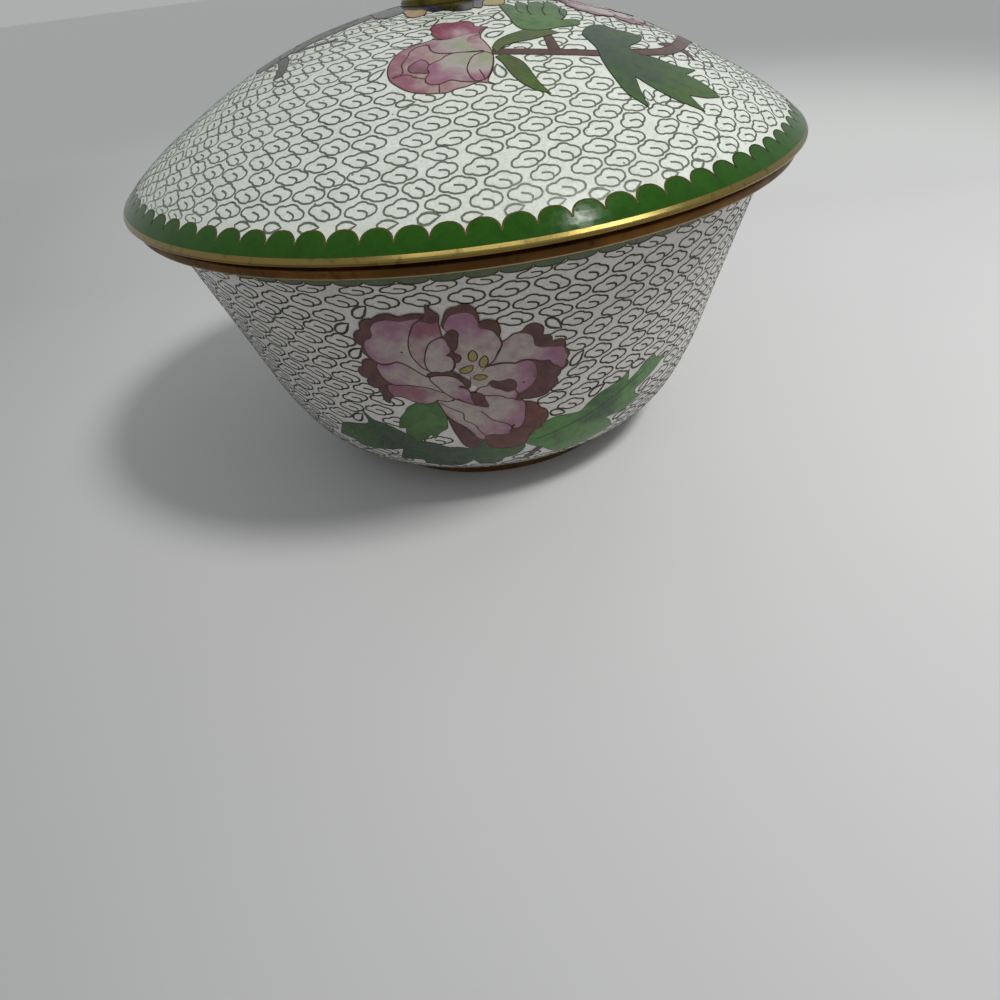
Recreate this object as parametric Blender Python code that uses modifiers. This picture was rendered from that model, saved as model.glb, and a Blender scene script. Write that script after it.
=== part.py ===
"""A cloisonne bowl with a domed lid that lifts off.

Every piece is a turned shape: an outline in the X-Z plane, spun round the Z axis. The bowl and the lid are
hollow shells of enamelled sheet copper, and the mouth band, the lid's bead, the foot and the knob are brass.
Metres, +Z up, with the origin on the table under the middle of the foot.
"""

import math

import bmesh
import bpy

MM = 0.001

# Driving dimensions
MOUTH_RADIUS = 80.2 * MM          # outer edge of the brass band round the bowl's mouth
SEAT_HEIGHT = 72.7 * MM           # plane where the lid's bead meets the bowl's band
WALL = 2.0 * MM                   # copper sheet with enamel on both faces
GAP = 0.3 * MM                    # clearance between pieces that touch
STEPS = 56                        # facets round the axis
KNOB_STEPS = 28

# The bowl's wall, from under the band down to the axis: (length, heading at its end, facets).
# A heading of 0 points outwards, 90 straight down and 180 straight in to the axis.
WALL_RADIUS = 75.0 * MM
WALL_TOP = SEAT_HEIGHT - 1.85 * MM
WALL_HEADING = 108.0
WALL_STRETCHES = (
    (42.0 * MM, 106.5, 3),        # flared side, almost straight
    (15.5 * MM, 118.0, 3),        # belly
    (10.3 * MM, 143.0, 3),
    (10.4 * MM, 177.0, 3),        # turns under to the foot
    (6.0 * MM, 182.0, 1),         # underside, very slightly raised in the middle
)

# The lid's dome, from the crown out to the bead
CROWN_HEIGHT = 104.2 * MM
DOME_STRETCHES = (
    (55.4 * MM, 26.1, 6),         # crown
    (16.0 * MM, 28.7, 1),         # nearly straight slope
    (16.0 * MM, 40.0, 3),         # shoulder that turns down to the bead
)

# Brass band round the bowl's mouth, a flat ring that stands out past the wall
BAND_THICKNESS = 1.25 * MM
BAND_INNER_RADIUS = 72.7 * MM
BAND_INNER_THICKNESS = 0.45 * MM

# Brass bead round the lid, with its collar inside the bowl's mouth
BEAD_RADIUS = 81.5 * MM
BEAD_WEB = 0.6 * MM
COLLAR_RADIUS = 71.8 * MM
COLLAR_WALL = 1.0 * MM
COLLAR_DEPTH = 3.4 * MM

# Brass foot ring
FOOT_RADIUS = 40.5 * MM
FOOT_TOP_RADIUS = 39.9 * MM
FOOT_WALL = 2.4 * MM

# Brass knob: a flared base, a waist, a small collar and a ball with a tip
KNOB_BASE_RADIUS = 9.5 * MM
KNOB_BASE_THICKNESS = 1.1 * MM
KNOB_WAIST_RADIUS = 3.6 * MM
KNOB_WAIST_HEIGHT = 4.6 * MM
KNOB_COLLAR_RADIUS = 5.0 * MM
KNOB_BALL_RADIUS = 7.4 * MM
KNOB_BALL_HEIGHT = 12.2 * MM      # middle of the ball above the crown
KNOB_TIP_RADIUS = 1.5 * MM
KNOB_TIP_LENGTH = 1.6 * MM

ENAMEL_WHITE = (0.78, 0.80, 0.76)
BRASS_AGED = (0.42, 0.27, 0.09)
BRASS_BRIGHT = (0.72, 0.52, 0.18)


def make_collection(name):
    """A collection in the scene for the object's pieces."""
    collection = bpy.data.collections.new(name)
    bpy.context.scene.collection.children.link(collection)
    return collection


def make_material(name, colour, roughness, metallic):
    material = bpy.data.materials.new(name)
    material.use_nodes = True
    shader = material.node_tree.nodes["Principled BSDF"]
    shader.inputs["Base Color"].default_value = (*colour, 1.0)
    shader.inputs["Roughness"].default_value = roughness
    shader.inputs["Metallic"].default_value = metallic
    return material


def stretch_points(start, heading, stretches):
    """Points along an outline of smooth stretches, each bending evenly from the last heading to its own."""
    radius, height = start
    points = [start]
    for length, end_heading, facets in stretches:
        turn = (end_heading - heading) / facets
        # The chord of each even bend is a little shorter than the bend itself.
        half = math.radians(turn) / 2
        chord = length / facets * (math.sin(half) / half)
        for facet in range(facets):
            direction = math.radians(heading + turn * (facet + 0.5))
            radius += chord * math.cos(direction)
            height -= chord * math.sin(direction)
            points.append((radius, height))
        heading = end_heading
    return points


def arc_points(centre, radius, start_angle, end_angle, facets):
    """Points on a round, with angles in degrees anticlockwise from straight outwards."""
    angles = [start_angle + (end_angle - start_angle) * i / facets for i in range(facets + 1)]
    return [
        (centre[0] + radius * math.cos(math.radians(a)), centre[1] + radius * math.sin(math.radians(a)))
        for a in angles
    ]


def shell_edge(points, at_end, offset):
    """The outer and inner corner of a shell's edge, moved on past it by offset.

    The outline runs down the shell's outer side, so the wall lies on the right of its direction.
    """
    (r0, z0), (r1, z1) = points[-2:] if at_end else points[:2]
    length = math.hypot(r1 - r0, z1 - z0)
    along = ((r1 - r0) / length, (z1 - z0) / length)
    corner = points[-1] if at_end else points[0]
    step = offset if at_end else -offset
    outer = (corner[0] + step * along[0], corner[1] + step * along[1])
    inner = (outer[0] + WALL * along[1], outer[1] - WALL * along[0])
    return outer, inner


def height_on(points, radius):
    """Height of an outline that runs outwards, at a radius."""
    for (r0, z0), (r1, z1) in zip(points, points[1:]):
        if min(r0, r1) <= radius <= max(r0, r1):
            return z0 + (z1 - z0) * (radius - r0) / (r1 - r0)
    raise ValueError("radius is off the outline")


def turned(name, outline, closed, steps, collection, material):
    """An outline in the X-Z plane spun round the Z axis. It runs down its outer side."""
    form = bmesh.new()
    ring = [form.verts.new((radius, 0.0, height)) for radius, height in outline]
    pairs = zip(ring, ring[1:] + ring[:1]) if closed else zip(ring, ring[1:])
    for first, second in pairs:
        form.edges.new((first, second))
    mesh = bpy.data.meshes.new(name)
    form.to_mesh(mesh)
    form.free()
    mesh.materials.append(material)
    piece = bpy.data.objects.new(name, mesh)
    collection.objects.link(piece)
    spin = piece.modifiers.new("spin", "SCREW")
    spin.axis = "Z"
    spin.angle = math.radians(360)
    spin.steps = steps
    spin.render_steps = steps
    spin.use_merge_vertices = True
    spin.merge_threshold = 0.01 * MM
    spin.use_smooth_shade = True
    return piece


def thicken(piece):
    """Gives a turned open surface its wall, inside the outline."""
    wall = piece.modifiers.new("wall", "SOLIDIFY")
    wall.thickness = WALL
    wall.offset = -1.0
    wall.use_even_offset = True


def bowl_outline():
    return stretch_points((WALL_RADIUS, WALL_TOP), WALL_HEADING, WALL_STRETCHES)


def dome_outline():
    return stretch_points((0.0, CROWN_HEIGHT), 0.0, DOME_STRETCHES)


def make_bowl_body(collection, material):
    """Hollow copper bowl: the flared wall, the belly and the underside as one shell."""
    outline = bowl_outline()
    last_radius, last_height = outline[-1]
    rise = last_radius * math.tan(math.radians(WALL_STRETCHES[-1][1] - 180.0))
    outline.append((0.0, last_height + rise))
    thicken(turned("bowl_body", outline, False, STEPS, collection, material))


def make_bowl_rim(collection, material):
    """Flat brass ring on top of the wall, thin over the wall and full at its rounded outer edge."""
    top = SEAT_HEIGHT - GAP / 2
    nose = BAND_THICKNESS / 2
    wall_outer, wall_inner = shell_edge(bowl_outline(), False, GAP)
    outline = [(BAND_INNER_RADIUS, top)]
    outline += arc_points((MOUTH_RADIUS - nose, top - nose), nose, 90, -90, 4)
    outline += [
        (wall_outer[0], top - BAND_THICKNESS),
        (wall_inner[0], top - BAND_INNER_THICKNESS),
        (BAND_INNER_RADIUS, top - BAND_INNER_THICKNESS),
    ]
    turned("bowl_rim", outline, True, STEPS, collection, material)


def make_foot_ring(collection, material):
    """Brass ring that flares a little towards the table and follows the bowl's underside on top."""
    wall = bowl_outline()
    inner_radius = FOOT_RADIUS - FOOT_WALL
    outline = [
        (FOOT_TOP_RADIUS, height_on(wall, FOOT_TOP_RADIUS) - GAP),
        (FOOT_RADIUS, 0.6 * MM),
        (FOOT_RADIUS - 0.3 * MM, 0.0),
        (inner_radius, 0.0),
        (inner_radius, height_on(wall, inner_radius) - GAP),
    ]
    turned("foot_ring", outline, True, STEPS, collection, material)


def make_lid_body(collection, material):
    """Hollow copper dome."""
    thicken(turned("lid_body", dome_outline(), False, STEPS, collection, material))


def make_lid_rim(collection, material):
    """Brass bead under the dome's edge, a flat web, and the collar that drops inside the mouth."""
    bottom = SEAT_HEIGHT + GAP / 2
    seat_outer, seat_inner = shell_edge(dome_outline(), True, GAP)
    half = (seat_outer[1] - bottom) / 2
    bulge = BEAD_RADIUS - seat_outer[0]
    bead = [
        (seat_outer[0] + bulge * math.cos(math.radians(a)), bottom + half + half * math.sin(math.radians(a)))
        for a in (90, 45, 0, -45, -90)
    ]
    outline = bead + [
        (COLLAR_RADIUS, bottom),
        (COLLAR_RADIUS, bottom - COLLAR_DEPTH),
        (COLLAR_RADIUS - COLLAR_WALL, bottom - COLLAR_DEPTH),
        (COLLAR_RADIUS - COLLAR_WALL, bottom + BEAD_WEB),
        (seat_inner[0] - 0.3 * MM, bottom + BEAD_WEB),
        seat_inner,
    ]
    turned("lid_rim", outline, True, STEPS, collection, material)


def make_knob(collection, material):
    """Turned brass knob whose underside follows the crown of the dome."""
    dome = dome_outline()
    foot = height_on(dome, KNOB_BASE_RADIUS) + GAP
    middle = CROWN_HEIGHT + GAP
    ball = (0.0, middle + KNOB_BALL_HEIGHT)
    tip_angle = math.degrees(math.acos(KNOB_TIP_RADIUS / KNOB_BALL_RADIUS))
    neck_angle = math.degrees(math.acos(KNOB_WAIST_RADIUS / KNOB_BALL_RADIUS))
    collar_height = KNOB_WAIST_HEIGHT + 0.5 * MM
    outline = [(0.0, ball[1] + KNOB_BALL_RADIUS + KNOB_TIP_LENGTH)]
    outline += arc_points(ball, KNOB_BALL_RADIUS, tip_angle, -neck_angle, 8)
    outline += [
        (KNOB_COLLAR_RADIUS, middle + collar_height),
        (KNOB_WAIST_RADIUS, middle + KNOB_WAIST_HEIGHT - 0.5 * MM),
        (KNOB_WAIST_RADIUS + 1.1 * MM, middle + 2.4 * MM),
        (KNOB_BASE_RADIUS - 1.6 * MM, foot + KNOB_BASE_THICKNESS + 0.4 * MM),
        (KNOB_BASE_RADIUS - 0.2 * MM, foot + KNOB_BASE_THICKNESS),
        (KNOB_BASE_RADIUS, foot),
        (0.0, middle),
    ]
    turned("knob", outline, False, KNOB_STEPS, collection, material)


def main():
    for item in list(bpy.data.objects):
        bpy.data.objects.remove(item, do_unlink=True)
    collection = make_collection("cloisonne_lidded_bowl")
    enamel = make_material("white_enamel", ENAMEL_WHITE, 0.18, 0.0)
    aged = make_material("aged_brass", BRASS_AGED, 0.4, 1.0)
    bright = make_material("bright_brass", BRASS_BRIGHT, 0.25, 1.0)
    make_bowl_body(collection, enamel)
    make_bowl_rim(collection, aged)
    make_foot_ring(collection, aged)
    make_lid_body(collection, enamel)
    make_lid_rim(collection, bright)
    make_knob(collection, aged)


main()
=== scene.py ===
import functools
import math

import bmesh
import bpy
import numpy as np
from mathutils import Matrix, Quaternion, Vector
from mathutils.kdtree import KDTree


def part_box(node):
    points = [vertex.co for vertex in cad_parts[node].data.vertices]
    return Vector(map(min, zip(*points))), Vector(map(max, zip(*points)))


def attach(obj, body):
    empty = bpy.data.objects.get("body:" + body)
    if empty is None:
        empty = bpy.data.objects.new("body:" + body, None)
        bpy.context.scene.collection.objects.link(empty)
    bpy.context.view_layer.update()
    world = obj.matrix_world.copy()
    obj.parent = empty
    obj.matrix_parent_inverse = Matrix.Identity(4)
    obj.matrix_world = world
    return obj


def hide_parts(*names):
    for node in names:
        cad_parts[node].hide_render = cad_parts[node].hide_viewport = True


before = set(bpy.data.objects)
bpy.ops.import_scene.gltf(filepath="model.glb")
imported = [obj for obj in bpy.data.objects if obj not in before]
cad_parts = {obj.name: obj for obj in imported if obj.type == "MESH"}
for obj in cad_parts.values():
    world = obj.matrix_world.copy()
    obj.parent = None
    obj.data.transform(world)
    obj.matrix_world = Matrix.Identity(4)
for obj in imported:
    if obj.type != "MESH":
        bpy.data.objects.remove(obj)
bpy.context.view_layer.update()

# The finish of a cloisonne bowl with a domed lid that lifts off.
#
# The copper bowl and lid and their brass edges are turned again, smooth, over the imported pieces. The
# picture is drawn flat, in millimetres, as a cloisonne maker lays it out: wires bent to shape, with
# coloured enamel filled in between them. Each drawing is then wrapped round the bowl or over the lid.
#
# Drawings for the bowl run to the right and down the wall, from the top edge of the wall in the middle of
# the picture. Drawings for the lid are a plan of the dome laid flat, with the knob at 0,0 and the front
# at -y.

MM = 0.001
RANDOM = np.random.default_rng(7)

# ---------------------------------------------------------------- sizes, in millimetres

WALL = 2.0                # copper sheet with enamel on both faces
OUTLINE_STEP = 0.25       # a turned outline is worked out in steps of this
TURN_STEPS = 288          # faces round a turned piece
TURN_FACE = 1.1           # length of a face along a turned outline
TURN_EDGE = 35.0          # an edge round a turned piece that bends more than this, in degrees, shows

# Stretches of a turned outline: (length, heading at its end). A heading of 0 points outwards, 90 straight
# down and 180 straight in to the axis.
WALL_HEADING = 108.0
WALL_STRETCHES = ((42.0, 106.5), (15.5, 118.0), (9.8, 143.0), (10.4, 177.0), (6.0, 182.0), (34.78, 182.0))
DOME_STRETCHES = ((55.4, 26.1), (16.0, 28.7), (16.0, 40.0), (0.55, 42.0))

BOWL_WIRE = 0.47          # brass wire of the clouds on the bowl, after polishing
LID_WIRE = 0.43           # and on the lid
BORDER_WIRE = 0.33
PICTURE_WIRE = 0.26       # thinner wire round petals and wings
LEAF_WIRE = 0.17          # the thinnest, round leaves
WIRE_DEPTH = 0.25         # how far a wire goes down into the enamel
WIRE_PROUD = 0.035        # what stands above the white enamel
FIELD_DEPTH = 0.12        # how far a coloured field goes down into the white
FIELD_LIFT = 0.05         # the lowest coloured field above the white
LAYER = 0.02              # a field that overlaps another lies this much higher
OVER = 0.01               # a wire above its own field
GRID = 1.15               # the faces of a field are at most this wide
LINE_STEP = 0.5           # length of the straight bits of a bent line

LID_LOBES = 83            # scallops of the green border
LID_CUSP = 85.6           # how far from the crown the scallops meet, along the dome
LID_LOBE_RISE = 2.8
BOWL_LOBES = 75           # and of the low border under the bowl's band
BOWL_CUSP = 3.0
BOWL_LOBE_RISE = 0.9

# Rows of clouds: (length along the outline, shift to the right of the front). After the first ones they
# follow each other evenly, by a step and a shift
BOWL_ROWS = ((5.1, 1.9), (7.7, 5.5), (11.2, 9.9), (14.6, 14.4))
BOWL_ROW_STEP = 3.45
BOWL_ROW_SHIFT = 4.4
BOWL_EVEN_ROWS = 17
LID_ROWS = ((79.4, 3.2), (75.8, -0.6), (72, 3.6), (68.2, 3.8), (64.6, -1.1))
LID_ROW_STEP = 3.85
LID_ROW_SHIFT = 3.8       # of every other row
LID_EVEN_ROWS = 13
# How much clouds stray from even rows: across and down in mm, in tilt, and in width and height
CLOUD_STRAY = (0.28, 0.2, 0.09, 0.05, 0.06)
CLOUD_ROOM = (7.1, 4.35)  # what a cloud of full size needs for itself, across and up
CLOUD_HALF = (3.3, 2.0)   # from its middle to its wire, across and up
CLOUD_RING = (2.4, 1.3)   # a ring inside it: these points and the middle tell how much is covered
RING_POINTS = 8
TOO_COVERED = 4           # a cloud with this many of its points covered, or more, is left out
SMALL_BEND = 0.9          # length of the straight bits of clouds and drops

DROP_SEARCH = 0.85        # the gaps are searched for room in steps of this
DROP_REACH = 4.5          # a drop lies no further than this from a picture
DROP_APART = 4.3          # and this far from the next one
DROP_LARGEST = 1.2        # the largest drop, against the one that is drawn
DROP_ROOM = 1.15          # free space round the middle of a drop of full size
DROP_HALF = 1.4           # from its middle to near its ends
DROP_END_ROOM = 0.6       # free space there, against that round its middle


def box_mm(node):
    """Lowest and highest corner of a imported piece, in millimetres."""
    low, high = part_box(node)
    return low / MM, high / MM


BOWL_HIGH = box_mm("bowl_body")[1]
BAND_LOW, BAND_HIGH = box_mm("bowl_rim")
LID_HIGH = box_mm("lid_body")[1]
BEAD_LOW, BEAD_HIGH = box_mm("lid_rim")
FOOT_HIGH = box_mm("foot_ring")[1]
KNOB_HIGH = box_mm("knob")[1]


class Outline:
    """A turned outline, measured along itself, as the drawings need it."""

    def __init__(self, radius, height, heading, stretches, plan=False):
        rows = [(0.0, radius, height, heading)]
        along = 0.0
        for length, end_heading in stretches:
            count = round(length / OUTLINE_STEP)
            for i in range(count):
                slope = math.radians(heading + (end_heading - heading) * (i + 0.5) / count)
                along += length / count
                radius += length / count * math.cos(slope)
                height -= length / count * math.sin(slope)
                rows.append((along, radius, height, heading + (end_heading - heading) * (i + 1) / count))
            heading = end_heading
        self.along, self.radius, self.height, slopes = (np.array(column) for column in zip(*rows))
        self.slope = np.radians(slopes)
        self.length = along
        self.plan = plan

    def girth(self, along):
        """The radius that a width in a drawing is measured at: in a plan, the distance from the knob."""
        return along if self.plan else np.interp(along, self.along, self.radius)

    def section(self, along, lift=0.0):
        """Radius and height of points along the outline, moved out of the surface by lift."""
        slope = np.interp(along, self.along, self.slope)
        radius = np.interp(along, self.along, self.radius) + lift * np.sin(slope)
        height = np.interp(along, self.along, self.height) + lift * np.cos(slope)
        return radius, height

    def wrapped(self, angle, along, lift):
        """Points in metres, from angles round the axis, lengths along the outline and lifts."""
        radius, height = self.section(along, lift)
        return np.stack([radius * np.cos(angle), radius * np.sin(angle), height], axis=-1) * MM

    def corners(self, first, last, lift=0.0):
        """Corners for turning, from one length along the outline to another."""
        count = math.ceil(abs(last - first) / TURN_FACE)
        radius, height = self.section(np.linspace(first, last, count + 1), lift)
        return list(zip(radius.tolist(), height.tolist()))


BOWL = Outline(BOWL_HIGH.x, BOWL_HIGH.z + WALL * math.cos(math.radians(WALL_HEADING)), WALL_HEADING,
               WALL_STRETCHES)
DOME = Outline(0.0, LID_HIGH.z, 0.0, DOME_STRETCHES, plan=True)
FRONT = -math.pi / 2


# ---------------------------------------------------------------- materials

def linear(code):
    """A colour in linear light from its sRGB hex code."""
    parts = [int(code[i:i + 2], 16) / 255 for i in (0, 2, 4)]
    return [*(p / 12.92 if p <= 0.04045 else ((p + 0.055) / 1.055) ** 2.4 for p in parts), 1.0]


def node(material, kind, inputs, output=0, **settings):
    """Adds a shader node and gives one of its outputs.

    inputs has a value for each socket that needs one: a number, a colour's hex code, or the output that
    feeds it.
    """
    made = material.node_tree.nodes.new("ShaderNode" + kind)
    for name, value in settings.items():
        setattr(made, name, value)
    for socket, value in inputs.items():
        if isinstance(value, bpy.types.NodeSocket):
            material.node_tree.links.new(value, made.inputs[socket])
        else:
            made.inputs[socket].default_value = linear(value) if isinstance(value, str) else value
    return made.outputs[output]


def new_material(name):
    """An empty material, its shader, the object's own coordinates, and what adds a node to it."""
    material = bpy.data.materials.new(name)
    material.use_nodes = True
    add = functools.partial(node, material)
    return material, material.node_tree.nodes["Principled BSDF"], add("TexCoord", {}, "Object"), add


def feed(material, shader, **sockets):
    """Links outputs to the shader. Spaces in the names of its sockets are written as lines."""
    for socket, value in sockets.items():
        material.node_tree.links.new(value, shader.inputs[socket.replace("_", " ")])


def enamel(name, pale, deep, cloud_mm, cloudy, speck, pits, gloss, edge=None, mottle=0.3, shine=1.4):
    """Fired glass paste, ground flat and polished.

    pale and deep are the two pastes that are wetted into each other. The field's own shade, from 0 to 1,
    says where each of them lies, and cloudy how much the grains wander, in clouds of cloud_mm. From 1 to
    2 a third paste, edge, comes in. speck is the colour of the dirt, and pits how dark it makes the
    pinholes. gloss is the middle roughness, mottle how strongly the unevenly ground grains show, and shine
    the index of the glass.
    """
    material, shader, where, add = new_material(name)

    # Cloudy patches of several sizes in millimetres, with their detail and a seed
    sizes = ((cloud_mm, 2.0, 0.0), (1.7, 4.0, 14.0), (2.2, 3.0, 17.0), (0.45, 3.0, 2.0), (6.0, 2.0, 5.0),
             (3.5, 1.0, 8.0), (1.4, 3.0, 11.0))
    clouds, flecks, glints, grains, dirt, waves, dulled = (
        add("TexNoise", {"Vector": where, "Scale": 1 / (size * MM), "Detail": detail, "W": seed},
            noise_dimensions="4D") for size, detail, seed in sizes)

    shade = add("Attribute", {}, "Fac", attribute_name="shade")
    drift = add("Math", {0: clouds, 1: 0.5}, operation="SUBTRACT")
    mixed = add("Math", {0: drift, 1: cloudy * 3, 2: shade}, operation="MULTIPLY_ADD")
    colour = add("Mix", {0: mixed, 6: pale, 7: deep}, 2, data_type="RGBA")
    if edge:
        beyond = add("Math", {0: mixed, 1: 1.0}, operation="SUBTRACT")
        colour = add("Mix", {0: beyond, 6: colour, 7: edge}, 2, data_type="RGBA")

    # Dark and light flecks where coarse grains of paste lay together, and grains that melted darker
    for patches, low, high, most, tint in ((flecks, 0.46, 0.72, mottle, speck),
                                           (glints, 0.52, 0.74, mottle * 0.6, pale),
                                           (grains, 0.35, 0.75, 0.22, speck)):
        reach = add("MapRange", {"Value": patches, "From Min": low, "From Max": high, "To Max": most})
        colour = add("Mix", {0: reach, 6: colour, 7: tint}, 2, data_type="RGBA")

    # Pinholes from gas in the firing, which hold polishing dirt
    pores = add("TexVoronoi", {"Vector": where, "Scale": 1 / (2.3 * MM)}, "Distance")
    radius = add("MapRange", {"Value": dirt, "From Min": 0.48, "From Max": 0.7, "To Min": 0.03,
                              "To Max": 0.13})
    past = add("Math", {0: pores, 1: radius}, operation="SUBTRACT")
    hole = add("MapRange", {"Value": past, "From Max": 0.03, "To Min": pits, "To Max": 0.0})
    colour = add("Mix", {0: hole, 6: colour, 7: speck}, 2, data_type="RGBA")

    # The stone leaves the glass very slightly wavy, and duller in places
    level = add("Math", {0: hole, 1: -0.6, 2: waves}, operation="MULTIPLY_ADD")
    bump = add("Bump", {"Strength": 0.2, "Distance": 0.00008, "Height": level})
    rough = add("MapRange", {"Value": dulled, "From Min": 0.3, "From Max": 0.7, "To Min": gloss - 0.05,
                             "To Max": gloss + 0.1})
    feed(material, shader, Base_Color=colour, Roughness=rough, Normal=bump)
    shader.inputs["IOR"].default_value = shine
    return material


def brass(name, bright, tarnish, patch_mm, worn, rough, turned_marks=False, painted_highlight=None):
    """Brass, from bright to tarnished, in patches of patch_mm.

    worn is how much of it is bright, and rough its middle roughness. painted_highlight is (height, height,
    colour): between those heights, in millimetres, it turns to a paler colour, a painted highlight.
    """
    material, shader, where, add = new_material(name)
    grain = (where, 0.35, 2.0, 6.0)
    if turned_marks:
        # Fine rings that the lathe tool leaves, drawn at 0.4 mm as the real ones are too fine to show
        grain = (add("Mapping", {"Vector": where, "Scale": (1.0, 1.0, 20.0)}), 8.0, 1.0, 7.0)
    sizes = ((where, patch_mm, 4.0, 0.0), (where, patch_mm / 7, 3.0, 4.0), grain)
    patches, spots, marks = (
        add("TexNoise", {"Vector": place, "Scale": 1 / (size * MM), "Detail": detail, "W": seed},
            noise_dimensions="4D") for place, size, detail, seed in sizes)
    reach = add("MapRange", {"Value": patches, "From Min": worn - 0.12, "From Max": worn + 0.16})
    colour = add("Mix", {0: reach, 6: bright, 7: tarnish}, 2, data_type="RGBA")
    # A painted highlight: between two heights the colour turns paler
    if painted_highlight:
        height = add("SeparateXYZ", {0: where}, "Z")
        reach = add("MapRange", {"Value": height, "From Min": painted_highlight[0] * MM, "From Max": painted_highlight[1] * MM})
        colour = add("Mix", {0: reach, 6: colour, 7: painted_highlight[2]}, 2, data_type="RGBA")
    reach = add("MapRange", {"Value": spots, "From Min": 0.56, "From Max": 0.72, "To Max": 0.55})
    colour = add("Mix", {0: reach, 6: colour, 7: "2c2014"}, 2, data_type="RGBA")
    dull = add("MapRange", {"Value": patches, "From Min": 0.3, "From Max": 0.7, "To Min": rough - 0.08,
                            "To Max": rough + 0.14})
    bump = add("Bump", {"Strength": 0.3, "Distance": 0.00006, "Height": marks})
    feed(material, shader, Base_Color=colour, Roughness=dull, Normal=bump)
    shader.inputs["Metallic"].default_value = 0.92
    return material


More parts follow.
